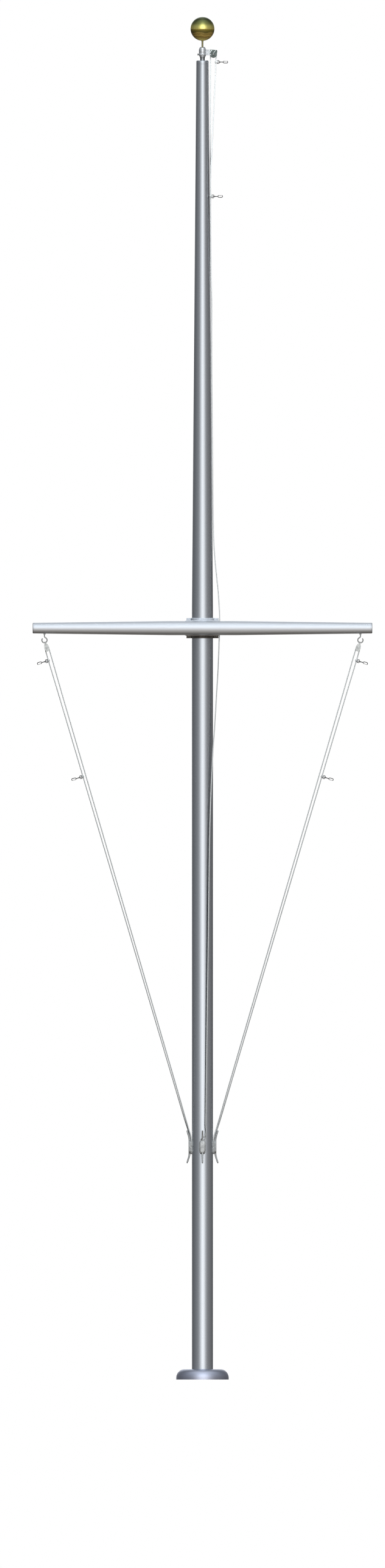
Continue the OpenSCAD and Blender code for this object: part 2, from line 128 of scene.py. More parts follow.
def smooth_route(points, step):
    """A round curve through the points, cut into even lengths of about one step."""
    p = [Vector(q) for q in points]
    p = [p[0] * 2 - p[1], *p, p[-1] * 2 - p[-2]]
    dense = []
    for i in range(1, len(p) - 2):
        knots = [0.0]
        for k in range(3):
            knots.append(knots[-1] + max((p[i + k] - p[i + k - 1]).length, 1e-6) ** 0.5)
        parts = max(2, int((p[i + 1] - p[i]).length / step * 2))
        for s in range(parts):
            t = knots[1] + (knots[2] - knots[1]) * s / parts
            level = p[i - 1:i + 3]
            for depth in (1, 2, 3):
                level = [
                    level[k].lerp(level[k + 1], mix(t, knots, k, depth))
                    for k in range(len(level) - 1)
                ]
            dense.append(level[0])
    dense.append(p[-2])
    xyz = np.array([tuple(q) for q in dense])
    run = np.concatenate([[0], np.cumsum(np.linalg.norm(np.diff(xyz, axis=0), axis=1))])
    at = np.linspace(0, run[-1], max(3, round(run[-1] / step) + 1))
    return [Vector(q) for q in np.stack([np.interp(at, run, xyz[:, k]) for k in range(3)], axis=1)]


def mix(t, knots, k, depth):
    """Share of the way between two levels of the round curve's pyramid."""
    low, high = {1: (k, k + 1), 2: (k, k + 2), 3: (1, 2)}[depth]
    return (t - knots[low]) / (knots[high] - knots[low])


def sweep(bm, path, size, sides=12, closed=False, uv_length=0.02, first=None):
    """A tube along the path, its ends capped. size is one radius, or a list with a radius a point."""
    count = len(path)
    sizes = size if isinstance(size, list) else [size] * count
    uv = bm.loops.layers.uv.verify()
    normal = Vector(first) if first else Vector((0, 0, 1))
    rings, run = [], [0.0]
    for i, point in enumerate(path):
        ahead = path[(i + 1) % count] if closed else path[min(i + 1, count - 1)]
        behind = path[i - 1] if closed or i else path[0]
        way = (ahead - behind).normalized()
        if i == 0 and abs(way.dot(normal)) > 0.95:
            normal = Vector((1, 0, 0)) if abs(way.x) < 0.9 else Vector((0, 1, 0))
        normal = (normal - way * way.dot(normal)).normalized()
        side = way.cross(normal)
        angles = [2 * math.pi * k / sides for k in range(sides)]
        spokes = [side * math.cos(a) + normal * math.sin(a) for a in angles]
        rings.append([bm.verts.new(point + spoke * sizes[i]) for spoke in spokes])
        if i:
            run.append(run[-1] + (point - path[i - 1]).length)
    last = count if closed else count - 1
    for i in range(last):
        for k in range(sides):
            m = (k + 1) % sides
            n = (i + 1) % count
            face = bm.faces.new((rings[i][k], rings[i][m], rings[n][m], rings[n][k]))
            far = run[n] if n else run[-1] + uv_length
            for loop, place in zip(face.loops, ((run[i], k), (run[i], k + 1), (far, k + 1), (far, k))):
                loop[uv].uv = (place[0] / uv_length, place[1] / sides)
    if not closed:
        bm.faces.new(list(reversed(rings[0])))
        bm.faces.new(rings[-1])


def tapered(points, radii, step):
    """A round curve through the points in even steps, and the radius at each step."""
    fine = smooth_route(points, step)
    keys = np.concatenate([[0], np.cumsum([(b - a).length for a, b in zip(points, points[1:])])])
    at = np.linspace(0, keys[-1], len(fine))
    return fine, [float(r) for r in np.interp(at, keys, radii)]


def round_end(path, radius, steps=4):
    """The path and its radii with a rounded nose added at both ends."""
    start, end = (path[1] - path[0]).normalized(), (path[-1] - path[-2]).normalized()
    shares = [math.sin(math.pi / 2 * (k + 0.35) / (steps + 0.35)) for k in range(steps)]
    head = [path[0] - start * radius * (1 - s) * 0.9 for s in shares]
    tail = [path[-1] + end * radius * (1 - s) * 0.9 for s in reversed(shares)]
    curve = [radius * math.sqrt(1 - (1 - s) ** 2) for s in shares]
    return head + list(path) + tail, curve + [radius] * len(path) + curve[::-1]


def revolve(bm, section, place=Matrix(), sides=32):
    """Turns an open or closed (radius, height) outline round local z, with its ends closed on the axis."""
    columns = []
    for k in range(sides):
        a = 2 * math.pi * k / sides
        columns.append([
            None if r < 1e-7 else bm.verts.new(place @ Vector((r * math.cos(a), r * math.sin(a), z)))
            for r, z in section])
    poles = {i: bm.verts.new(place @ Vector((0, 0, z))) for i, (r, z) in enumerate(section) if r < 1e-7}
    for k in range(sides):
        a, b = columns[k], columns[(k + 1) % sides]
        for i in range(len(section) - 1):
            loop = [a[i] or poles[i], b[i] or poles[i], b[i + 1] or poles[i + 1], a[i + 1] or poles[i + 1]]
            kept = [v for n, v in enumerate(loop) if v is not loop[n - 1]]
            if len(kept) > 2:
                bm.faces.new(kept)


def plate(bm, outline, low, high, place=Matrix(), cut=0.0006):
    """A flat plate from a convex or gently hollow outline in x and y, its edges chamfered."""
    pts = [Vector((p[0], p[1], 0)) for p in outline]
    area = sum(a.x * b.y - b.x * a.y for a, b in zip(pts, pts[1:] + pts[:1]))
    if area < 0:
        pts.reverse()
    inner = []
    for i, p in enumerate(pts):
        a, b = (p - pts[i - 1]).normalized(), (pts[(i + 1) % len(pts)] - p).normalized()
        way = (a + b).normalized()
        inner.append(p + Vector((-way.y, way.x, 0)) * cut)
    rings = []
    for ring, z in ((inner, low), (pts, low + cut), (pts, high - cut), (inner, high)):
        rings.append([bm.verts.new(place @ (p + Vector((0, 0, z)))) for p in ring])
    for lower, upper in zip(rings, rings[1:]):
        for i in range(len(pts)):
            j = (i + 1) % len(pts)
            bm.faces.new((lower[i], lower[j], upper[j], upper[i]))
    bm.faces.new(list(reversed(rings[0])))
    bm.faces.new(rings[-1])


def facing(origin, z_axis, x_axis):
    """A place whose local z and x axes point the given ways."""
    z = Vector(z_axis).normalized()
    x = (Vector(x_axis) - z * z.dot(Vector(x_axis))).normalized()
    m = Matrix.Identity(4)
    for k, axis in enumerate((x, z.cross(x), z)):
        m.col[k][:3] = axis
    m.translation = Vector(origin)
    return m


def on_side(y):
    """A place at a distance y off the middle plane, with its local x and y along x and z."""
    return facing((0, y, 0), (0, -1, 0), (1, 0, 0))


def pin_place(x, z):
    """A place for a pin that runs across, along y."""
    return facing((x, 0, z), (0, 1, 0), (1, 0, 0))


def new_mesh(name, build):
    """A mesh from a function that fills a bmesh, its faces turned outwards."""
    bm = bmesh.new()
    build(bm)
    bmesh.ops.remove_doubles(bm, verts=bm.verts, dist=1e-6)
    bmesh.ops.recalc_face_normals(bm, faces=bm.faces)
    mesh = bpy.data.meshes.new(name)
    bm.to_mesh(mesh)
    bm.free()
    return mesh


def piece(name, mesh, material, body, stands_for=(), sharp=35):
    """An object that rides on a body, shaded smooth up to the sharp angle."""
    mesh.materials.clear()
    mesh.materials.append(material)
    mesh.shade_smooth()
    mesh.set_sharp_from_angle(angle=math.radians(sharp))
    obj = bpy.data.objects.new(name, mesh)
    scene.collection.objects.link(obj)
    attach(obj, body)
    if stands_for:
        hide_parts(*stands_for)
    return obj


def applied(mesh, add):
    """The mesh after the modifiers that add puts on it."""
    holder = bpy.data.objects.new("holder", mesh)
    scene.collection.objects.link(holder)
    add(holder)
    holder.data.update()
    evaluated = holder.evaluated_get(bpy.context.evaluated_depsgraph_get())
    result = bpy.data.meshes.new_from_object(evaluated)
    bpy.data.objects.remove(holder)
    return result


def joined(*meshes):
    """One mesh out of several."""
    bm = bmesh.new()
    for mesh in meshes:
        bm.from_mesh(mesh)
    out = bpy.data.meshes.new("joined")
    bm.to_mesh(out)
    bm.free()
    return out


def from_cad(node, width):
    """A copy of a CAD node's mesh with its flat faces cleaned and its edges rounded."""
    bm = bmesh.new()
    bm.from_mesh(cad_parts[node].data)
    bmesh.ops.remove_doubles(bm, verts=bm.verts, dist=2e-6)
    bmesh.ops.dissolve_limit(
        bm, angle_limit=math.radians(0.6), verts=bm.verts, edges=bm.edges, use_dissolve_boundaries=False)
    mesh = bpy.data.meshes.new(node + "_shape")
    bm.to_mesh(mesh)
    bm.free()

    def add(holder):
        bevel = holder.modifiers.new("rounded", "BEVEL")
        bevel.width = width
        bevel.segments = 2
        bevel.limit_method = "ANGLE"
        bevel.angle_limit = math.radians(28)
        bevel.use_clamp_overlap = True

    return applied(mesh, add)


# ---------------------------------------------------------------- geometry node trees

def tree(name, inputs):
    """A new geometry tree with named inputs: (name, type, default)."""
    group = bpy.data.node_groups.new(name, "GeometryNodeTree")
    for label, kind, value in inputs:
        socket = group.interface.new_socket(label, in_out="INPUT", socket_type="NodeSocket" + kind)
        if value is not None:
            socket.default_value = value
    group.interface.new_socket("Geometry", in_out="OUTPUT", socket_type="NodeSocketGeometry")
    return group, group.nodes.new("NodeGroupInput"), group.nodes.new("NodeGroupOutput")


def run_tree(group, mesh, values):
    """The mesh that a tree makes of another, with its inputs set by name."""
    def add(holder):
        modifier = holder.modifiers.new(group.name, "NODES")
        modifier.node_group = group
        for item in group.interface.items_tree:
            if item.in_out == "INPUT" and item.name in values:
                modifier[item.identifier] = values[item.name]
    return applied(mesh, add)


def turned_tree():
    """Turns a closed section round the z axis.

    The section lies in x (radius less one metre) and y (height, downwards).
    """
    group, given, out = tree("turned_section", [
        ("Section", "Geometry", None), ("Sides", "Int", 96), ("Finish", "Material", None)])
    new, link = group.nodes.new, group.links.new
    outline = new("GeometryNodeMeshToCurve")
    circle = new("GeometryNodeCurvePrimitiveCircle")
    circle.inputs["Radius"].default_value = 1.0
    sweep_node = new("GeometryNodeCurveToMesh")
    real = new("GeometryNodeRealizeInstances")
    paint = new("GeometryNodeSetMaterial")
    link(given.outputs["Section"], outline.inputs["Mesh"])
    link(given.outputs["Sides"], circle.inputs["Resolution"])
    link(circle.outputs["Curve"], sweep_node.inputs["Curve"])
    link(outline.outputs["Curve"], sweep_node.inputs["Profile Curve"])
    link(sweep_node.outputs["Mesh"], real.inputs["Geometry"])
    link(real.outputs["Geometry"], paint.inputs["Geometry"])
    link(given.outputs["Finish"], paint.inputs["Material"])
    link(paint.outputs["Geometry"], out.inputs["Geometry"])
    return group


def hex_tree():
    """A hexagon head of given size on every point, each along the point's own axis attribute."""
    group, given, out = tree("hex_heads", [
        ("Places", "Geometry", None), ("Across", "Float", 0.018), ("Height", "Float", 0.008),
        ("Finish", "Material", None)])
    new, link = group.nodes.new, group.links.new
    half = new("ShaderNodeMath")
    half.operation = "MULTIPLY"
    half.inputs[1].default_value = 1 / math.sqrt(3)
    prism = new("GeometryNodeMeshCylinder")
    prism.inputs["Vertices"].default_value = 6
    axis = new("GeometryNodeInputNamedAttribute")
    axis.data_type = "FLOAT_VECTOR"
    axis.inputs["Name"].default_value = "axis"
    turn = new("FunctionNodeAlignRotationToVector")
    turn.axis = "Z"
    put = new("GeometryNodeInstanceOnPoints")
    real = new("GeometryNodeRealizeInstances")
    paint = new("GeometryNodeSetMaterial")
    link(given.outputs["Across"], half.inputs[0])
    link(half.outputs[0], prism.inputs["Radius"])
    link(given.outputs["Height"], prism.inputs["Depth"])
    link(given.outputs["Places"], put.inputs["Points"])
    link(prism.outputs["Mesh"], put.inputs["Instance"])
    link(axis.outputs["Attribute"], turn.inputs["Vector"])
    link(turn.outputs["Rotation"], put.inputs["Rotation"])
    link(put.outputs["Instances"], real.inputs["Geometry"])
    link(real.outputs["Geometry"], paint.inputs["Geometry"])
    link(given.outputs["Finish"], paint.inputs["Material"])
    link(paint.outputs["Geometry"], out.inputs["Geometry"])
    return group


def ribs_tree():
    """A row of slanting ribs, the first at the origin and the next along x."""
    group, given, out = tree("cast_ribs", [
        ("Start", "Geometry", None), ("Count", "Int", 8), ("Spacing", "Vector", (0.008, 0, 0)),
        ("Size", "Vector", (0.003, 0.002, 0.03)), ("Lean", "Vector", (0, 0.5, 0)),
        ("Finish", "Material", None)])
    new, link = group.nodes.new, group.links.new
    line = new("GeometryNodeMeshLine")
    bar = new("GeometryNodeMeshCube")
    put = new("GeometryNodeInstanceOnPoints")
    real = new("GeometryNodeRealizeInstances")
    paint = new("GeometryNodeSetMaterial")
    link(given.outputs["Count"], line.inputs["Count"])
    link(given.outputs["Spacing"], line.inputs["Offset"])
    link(given.outputs["Size"], bar.inputs["Size"])
    link(line.outputs["Mesh"], put.inputs["Points"])
    link(bar.outputs["Mesh"], put.inputs["Instance"])
    link(given.outputs["Lean"], put.inputs["Rotation"])
    link(put.outputs["Instances"], real.inputs["Geometry"])
    link(real.outputs["Geometry"], paint.inputs["Geometry"])
    link(given.outputs["Finish"], paint.inputs["Material"])
    link(paint.outputs["Geometry"], out.inputs["Geometry"])
    return group


TURNED = turned_tree()
HEX = hex_tree()
RIBS = ribs_tree()


def turned(section, material, sides=96, place=Matrix()):
    """A turned piece from a closed (radius, height) section, put at a place."""
    mesh = bpy.data.meshes.new("section")
    count = len(section)
    mesh.from_pydata([(r - 1, -z, 0) for r, z in section], [(i, (i + 1) % count) for i in range(count)], [])
    made = run_tree(TURNED, mesh, {"Sides": sides, "Finish": material})
    bm = bmesh.new()
    bm.from_mesh(made)
    bmesh.ops.remove_doubles(bm, verts=bm.verts, dist=2e-6)
    bmesh.ops.recalc_face_normals(bm, faces=bm.faces)
    bm.to_mesh(made)
    bm.free()
    made.transform(place)
    return made


def hexes(points, axes, across, height, material):
    """Hexagon heads with softened edges, one at each point."""
    mesh = bpy.data.meshes.new("places")
    mesh.from_pydata([tuple(p) for p in points], [], [])
    axis = mesh.attributes.new("axis", "FLOAT_VECTOR", "POINT")
    axis.data.foreach_set("vector", [c for a in axes for c in a])
    made = run_tree(HEX, mesh, {"Across": across, "Height": height, "Finish": material})

    def add(holder):
        bevel = holder.modifiers.new("soft", "BEVEL")
        bevel.width = across * 0.05
        bevel.segments = 2
    return applied(made, add)


# ---------------------------------------------------------------- material helpers

class Paint:
    """A material being built: its nodes, its links and its main shader."""

    def __init__(self, name, colour, roughness, metallic=0.0, **sockets):
        self.material = bpy.data.materials.new(name)
        self.material.use_nodes = True
        self.material.diffuse_color = (*colour, 1)
        self.nodes = self.material.node_tree.nodes
        self.links = self.material.node_tree.links
        self.shader = self.nodes["Principled BSDF"]
        self.shader.inputs["Base Color"].default_value = (*colour, 1)
        self.shader.inputs["Roughness"].default_value = roughness
        self.shader.inputs["Metallic"].default_value = metallic
        for label, value in sockets.items():
            self.shader.inputs[label.replace("_", " ")].default_value = value
        self.coordinates = self.nodes.new("ShaderNodeTexCoord")

    def add(self, kind, **settings):
        """A new node with its settings."""
        node = self.nodes.new(kind)
        for label, value in settings.items():
            setattr(node, label, value)
        return node

    def group(self, tree_, **values):
        """A group node with values on its inputs."""
        node = self.nodes.new("ShaderNodeGroup")
        node.node_tree = tree_
        for label, value in values.items():
            node.inputs[label.replace("_", " ")].default_value = value
        return node

    def stretched(self, scale):
        """The object's own coordinates, scaled along each axis."""
        node = self.add("ShaderNodeMapping")
        node.inputs["Scale"].default_value = scale
        self.links.new(self.coordinates.outputs["Object"], node.inputs["Vector"])
        return node.outputs["Vector"]

    def ramp(self, value, stops, target="Base Color"):
        """Colours along a value, put on a socket unless target is None."""
        node = self.add("ShaderNodeValToRGB")
        elements = node.color_ramp.elements
        while len(elements) < len(stops):
            elements.new(0.5)
        for element, (at, colour) in zip(elements, stops):
            element.position = at
            element.color = (*colour, 1) if len(colour) == 3 else colour
        self.links.new(value, node.inputs["Fac"])
        if target:
            self.links.new(node.outputs["Color"], self.shader.inputs[target])
        return node.outputs["Color"]

    def height(self, low, high):
        """How far up the object a point is, from 0 at the low height to 1 at the high one."""
        parts = self.add("ShaderNodeSeparateXYZ")
        self.links.new(self.coordinates.outputs["Object"], parts.inputs[0])
        node = self.add("ShaderNodeMapRange")
        node.inputs["From Min"].default_value = low
        node.inputs["From Max"].default_value = high
        self.links.new(parts.outputs["Z"], node.inputs["Value"])
        return node.outputs["Result"]

    def mixed(self, share, a, b, target):
        """A share of b over a, put on a socket."""
        node = self.add("ShaderNodeMix", data_type="RGBA")
        self.links.new(share, node.inputs[0])
        self.links.new(a, node.inputs[6])
        self.links.new(b, node.inputs[7])
        self.links.new(node.outputs[2], self.shader.inputs[target])

    def spread(self, value, low, high, target="Roughness"):
        """A mask spread between two values, put on a socket."""
        node = self.add("ShaderNodeMapRange")
        node.inputs["To Min"].default_value = low
        node.inputs["To Max"].default_value = high
        self.links.new(value, node.inputs["Value"])
        self.links.new(node.outputs["Result"], self.shader.inputs[target])

    def bump(self, height, strength, distance):
        """A relief from a height."""
        node = self.add("ShaderNodeBump")
        node.inputs["Strength"].default_value = strength
        node.inputs["Distance"].default_value = distance
        self.links.new(height, node.inputs["Height"])
        self.links.new(node.outputs["Normal"], self.shader.inputs["Normal"])


def shader_group(name, inputs, outputs):
    """A shader group with named sockets: inputs as (name, type, default), outputs as (name, type)."""
    group = bpy.data.node_groups.new(name, "ShaderNodeTree")
    for label, kind, value in inputs:
        socket = group.interface.new_socket(label, in_out="INPUT", socket_type="NodeSocket" + kind)
        if value is not None:
            socket.default_value = value
    for label, kind in outputs:
        group.interface.new_socket(label, in_out="OUTPUT", socket_type="NodeSocket" + kind)
    return group, group.nodes.new("NodeGroupInput"), group.nodes.new("NodeGroupOutput")


def maths(group, operation, a, b=None, clamp=False):
    """A maths node in a group; a and b are sockets or numbers."""
    node = group.nodes.new("ShaderNodeMath")
    node.operation = operation
    node.use_clamp = clamp
    for socket, value in zip(node.inputs, (a, b)):
        if isinstance(value, (int, float)):
            socket.default_value = value
        elif value is not None:
            group.links.new(value, socket)
    return node.outputs[0]


def grain_group():
    """Fine drawn or turned grain and slow clouding. Vector is already stretched along the grain."""
    group, given, out = shader_group(
        "drawn_grain",
        [("Vector", "Vector", None), ("Fine", "Float", 900.0), ("Cloud", "Float", 6.0)],
        [("Grain", "Float"), ("Clouds", "Float")])
    fine = group.nodes.new("ShaderNodeTexNoise")
    fine.inputs["Detail"].default_value = 5
    cloud = group.nodes.new("ShaderNodeTexNoise")
    cloud.inputs["Detail"].default_value = 3
    for node, scale in ((fine, "Fine"), (cloud, "Cloud")):
        group.links.new(given.outputs["Vector"], node.inputs["Vector"])
        group.links.new(given.outputs[scale], node.inputs["Scale"])
    group.links.new(fine.outputs["Fac"], out.inputs["Grain"])
    group.links.new(cloud.outputs["Fac"], out.inputs["Clouds"])
    return group


def casting_group():
    """Cast skin: a fine pebbled height and a broad mask of handling wear."""
    group, given, out = shader_group(
        "cast_skin",
        [("Vector", "Vector", None), ("Pebble", "Float", 700.0), ("Patches", "Float", 40.0)],
        [("Height", "Float"), ("Wear", "Float")])
    pebble = group.nodes.new("ShaderNodeTexVoronoi")
    pebble.feature = "SMOOTH_F1"
    patch = group.nodes.new("ShaderNodeTexNoise")
    patch.inputs["Detail"].default_value = 6
    patch.inputs["Roughness"].default_value = 0.65
    for node, scale in ((pebble, "Pebble"), (patch, "Patches")):
        group.links.new(given.outputs["Vector"], node.inputs["Vector"])
        group.links.new(given.outputs[scale], node.inputs["Scale"])
    group.links.new(pebble.outputs["Distance"], out.inputs["Height"])
    group.links.new(patch.outputs["Fac"], out.inputs["Wear"])
    return group


def braid_group():
    """Diamond braid over a unit square of uv: raised strands and the painted shade of the lines between
    them.
    """
    group, given, out = shader_group(
        "diamond_braid",
        [("UV", "Vector", None), ("Strands", "Float", 8.0), ("Picks", "Float", 2.0)],
        [("Height", "Float"), ("Crease_Shade", "Float")])
    parts = group.nodes.new("ShaderNodeSeparateXYZ")
    group.links.new(given.outputs["UV"], parts.inputs[0])
    along = maths(group, "MULTIPLY", parts.outputs["X"], given.outputs["Picks"])
    around = maths(group, "MULTIPLY", parts.outputs["Y"], given.outputs["Strands"])
    waves = []
    for operation in ("ADD", "SUBTRACT"):
        slant = maths(group, operation, along, around)
        wave = maths(group, "SINE", maths(group, "MULTIPLY", slant, math.pi))
        waves.append(maths(group, "ABSOLUTE", wave))
    height = maths(group, "MULTIPLY", waves[0], waves[1])
    # painted shade: darkest where the strands meet
    crease_shade = maths(group, "POWER", height, 0.45)
    group.links.new(height, out.inputs["Height"])
    group.links.new(crease_shade, out.inputs["Crease_Shade"])
    return group


GRAIN = grain_group()
CAST = casting_group()
BRAID = braid_group()


def metal(name, colour, roughness, metallic=1.0, stretch=(1, 1, 1), fine=900, tone=0.12, bump=0.05):
    """Drawn or turned metal: tone, gloss and a faint relief follow the grain."""
    paint = Paint(name, colour, roughness, metallic)
    grain = paint.group(GRAIN, Fine=fine)
    paint.links.new(paint.stretched(stretch), grain.inputs["Vector"])
    dark = tuple(c * (1 - tone) for c in colour)
    light = tuple(min(1, c * (1 + tone)) for c in colour)
    paint.ramp(grain.outputs["Clouds"], [(0.3, dark), (0.7, light)])
    paint.spread(grain.outputs["Grain"], roughness * 0.75, roughness * 1.25)
    paint.bump(grain.outputs["Grain"], bump, 0.0004)
    return paint.material


def casting(name, colour, roughness, metallic, pebble, worn=1.3, relief=0.25):
    """Cast metal: pebbled skin, with patches rubbed brighter and smoother."""
    paint = Paint(name, colour, roughness, metallic)
    skin = paint.group(CAST, Pebble=pebble)
    paint.links.new(paint.coordinates.outputs["Object"], skin.inputs["Vector"])
    bright = tuple(min(1, c * worn) for c in colour)
    deep = tuple(c * 0.8 for c in colour)
    paint.ramp(skin.outputs["Wear"], [(0.35, deep), (0.5, colour), (0.72, bright)])
    paint.spread(skin.outputs["Wear"], roughness * 1.2, roughness * 0.7)
    paint.bump(skin.outputs["Height"], relief, 0.0006)
    return paint.material


def gold_finish():
    """Mirror gold with painted reflections: a painted bright band above its middle, painted brown streaked
    reflections below it and painted olive over the crown.
    """
    paint = Paint("ball_gold", (0.80, 0.62, 0.18), 0.10, 1.0, Specular_IOR_Level=0.15)
    height = paint.height(BALL_Z - BALL_R, BALL_Z + BALL_R)
    wave = paint.add("ShaderNodeTexNoise")
    wave.inputs["Scale"].default_value = 14
    wave.inputs["Detail"].default_value = 3
    paint.links.new(paint.stretched((1, 1, 1.6)), wave.inputs["Vector"])
    wobble = paint.add("ShaderNodeMath", operation="MULTIPLY_ADD")
    wobble.inputs[1].default_value = 0.20
    wobble.inputs[2].default_value = -0.10
    paint.links.new(wave.outputs["Fac"], wobble.inputs[0])
    shade = paint.add("ShaderNodeMath", operation="ADD")
    paint.links.new(height, shade.inputs[0])
    paint.links.new(wobble.outputs[0], shade.inputs[1])
    # painted reflection below the middle: dark brown bands and streaks of a reflected landscape, stirred by
    # the noise
    lower = paint.ramp(shade.outputs[0], [
        (0.02, (0.42, 0.36, 0.10)), (0.10, (0.21, 0.16, 0.042)), (0.17, (0.11, 0.072, 0.018)),
        (0.22, (0.20, 0.14, 0.036)), (0.27, (0.10, 0.066, 0.017)), (0.31, (0.125, 0.088, 0.023)),
        (0.36, (0.036, 0.028, 0.006)), (0.46, (0.055, 0.042, 0.007)),
        (0.52, (0.12, 0.09, 0.016))], target=None)
    # painted reflection above the middle: a painted highlight band just over the middle, fading to dark
    # olive over the crown
    upper = paint.ramp(height, [
        (0.49, (0.16, 0.12, 0.03)), (0.51, (0.92, 0.78, 0.24)), (0.58, (0.90, 0.80, 0.24)),
        (0.66, (0.58, 0.54, 0.17)), (0.72, (0.29, 0.29, 0.095)), (0.82, (0.165, 0.185, 0.07)),
        (0.92, (0.14, 0.16, 0.07))], target=None)
    # the sharp step at the middle where the two painted reflections meet
    edge = paint.add("ShaderNodeMapRange")
    edge.inputs["From Min"].default_value = 0.485
    edge.inputs["From Max"].default_value = 0.505
    paint.links.new(height, edge.inputs["Value"])
    paint.mixed(edge.outputs["Result"], lower, upper, "Base Color")
    paint.spread(edge.outputs["Result"], 0.12, 1.0, "Metallic")
    return paint.material


def saddle_finish():
    """Galvanised casting, with painted shade: dark brown below the yard, where the yard's shadow falls."""
    paint = Paint("saddle_cast", (0.40, 0.43, 0.47), 0.45, 0.45)
    skin = paint.group(CAST, Pebble=500)
    paint.links.new(paint.coordinates.outputs["Object"], skin.inputs["Vector"])
    wear = skin.outputs["Wear"]
    casting_tone = paint.ramp(wear, [
        (0.35, (0.30, 0.32, 0.35)), (0.5, (0.38, 0.41, 0.45)), (0.72, (0.48, 0.52, 0.57))], target=None)
    # painted shade: the colour turns dark brown below the yard, standing in for the yard's shadow on the
    # casting
    shade_below_yard = paint.ramp(wear, [(0.35, (0.070, 0.062, 0.052)), (0.72, (0.14, 0.125, 0.11))], target=None)
    paint.mixed(paint.height(YARD.z - 0.050, YARD.z - 0.020), shade_below_yard, casting_tone, "Base Color")
    paint.spread(wear, 0.54, 0.32)
    paint.bump(skin.outputs["Height"], 0.12, 0.0006)
    return paint.material


def rope_finish():
    """Braided white polyester, with painted shade greying the lines between the strands."""
    paint = Paint("halyard_braid", (0.40, 0.41, 0.41), 0.8, Sheen_Weight=0.2)
    braid = paint.group(BRAID)
    paint.links.new(paint.coordinates.outputs["UV"], braid.inputs["UV"])
    # painted shade: the lines between the strands are darkened
    paint.ramp(braid.outputs["Crease_Shade"], [
        (0.0, (0.10, 0.11, 0.11)), (0.5, (0.29, 0.30, 0.30)), (1.0, (0.42, 0.43, 0.43))])
    paint.bump(braid.outputs["Height"], 0.6, 0.0012)
    return paint.material


MAST_METAL = metal("mast_satin", (0.58, 0.61, 0.645), 0.28, stretch=(1, 1, 0.02), tone=0.04, bump=0.02)
COLLAR_METAL = metal(
    "collar_spun", (0.50, 0.52, 0.62), 0.34, stretch=(0.2, 0.2, 1.0), fine=700, tone=0.05, bump=0.03)
YARD_METAL = metal(
    "yard_satin", (0.57, 0.59, 0.62), 0.38, 0.93, stretch=(0.02, 1, 1), fine=500, tone=0.02, bump=0.0)
GOLD = gold_finish()
OLD_BRASS = metal("rod_olive", (0.36, 0.34, 0.19), 0.38, stretch=(1, 1, 0.02), tone=0.15)
EYE_STEEL = metal("eye_galvanised", (0.33, 0.335, 0.33), 0.42, 0.8, fine=1200, tone=0.2)
DARK_STEEL = metal("steel_dark", (0.15, 0.155, 0.15), 0.42, 0.8, fine=1200, tone=0.2)
SNAP_METAL = metal("snap_dark", (0.085, 0.085, 0.085), 0.36, 0.8, fine=1500, tone=0.2)
BAIL_METAL = metal("bail_grey", (0.15, 0.15, 0.15), 0.36, 0.8, fine=1500, tone=0.15)
BLOCK_METAL = casting("block_grey", (0.42, 0.43, 0.42), 0.45, 0.6, pebble=420, relief=0.3)
TRUCK_CAST = casting("truck_cast", (0.60, 0.62, 0.64), 0.26, 0.92, pebble=1100, relief=0.08)
NECK_METAL = metal("neck_turned", (0.34, 0.36, 0.38), 0.24, stretch=(1, 1, 0.2), tone=0.1)
ARM_CAST = casting("arm_cast", (0.065, 0.08, 0.075), 0.42, 0.6, pebble=520, worn=2.8, relief=0.4)
ARM_GREY = casting("arm_grey", (0.33, 0.34, 0.355), 0.48, 0.6, pebble=700, worn=1.5, relief=0.2)
RIB_CAST = casting("rib_cast", (0.42, 0.46, 0.45), 0.35, 0.7, pebble=900, relief=0.1)
SADDLE_CAST = saddle_finish()
CLEAT_CAST = casting("cleat_cast", (0.36, 0.37, 0.37), 0.36, 0.75, pebble=700, relief=0.10)
BLACK_HOLE = metal("socket_black", (0.02, 0.02, 0.02), 0.6, 0.2)
ROPE = rope_finish()


# ---------------------------------------------------------------- mast, plug and collar

def make_mast():
    """The tube: straight up to the yard, then tapering to the plug."""
    straight = [(MAST_R, TAPER_Z * k / 10) for k in range(11)]
    taper = []
    for k in range(1, 8):
        t = k / 8
        taper.append((MAST_R + (MAST_TOP_R - MAST_R) * t, TAPER_Z + (PLUG_Z - TAPER_Z) * t))
    lip = [(MAST_TOP_R, PLUG_Z - SEAM), (MAST_TOP_R - SEAM, PLUG_Z)]
    bore = [(MAST_TOP_R - MAST_WALL, PLUG_Z), (MAST_R - MAST_WALL, TAPER_Z), (MAST_R - MAST_WALL, 0)]
    mesh = turned(straight + taper + lip + bore, MAST_METAL, 160)
    piece("mast_tube", mesh, MAST_METAL, "root", ["mast"])


def make_plug():
    """The plug in the mast's end: a spigot inside the tube and a crown with a rounded shoulder."""
    bore, foot = 0.0126, PLUG_Z - 0.06
    spigot = MAST_TOP_R - MAST_WALL - 0.0003
    inside = [(bore, foot), (spigot, foot), (spigot, PLUG_Z), (MAST_TOP_R - SEAM, PLUG_Z),
              (MAST_TOP_R, PLUG_Z + SEAM)]
    crown = [(MAST_TOP_R, PLUG_Z + SEAM, 0), (MAST_TOP_R, MAST_H - 0.006, 0), (0.0395, MAST_H, 0),
             (bore, MAST_H, 0)]
    section = inside + [tuple(p[:2]) for p in filleted(crown, 0.002, closed=False)][1:]
    mesh = turned(section, MAST_METAL, 128)
    piece("mast_plug", mesh, MAST_METAL, "root", ["mast_top_plug"])


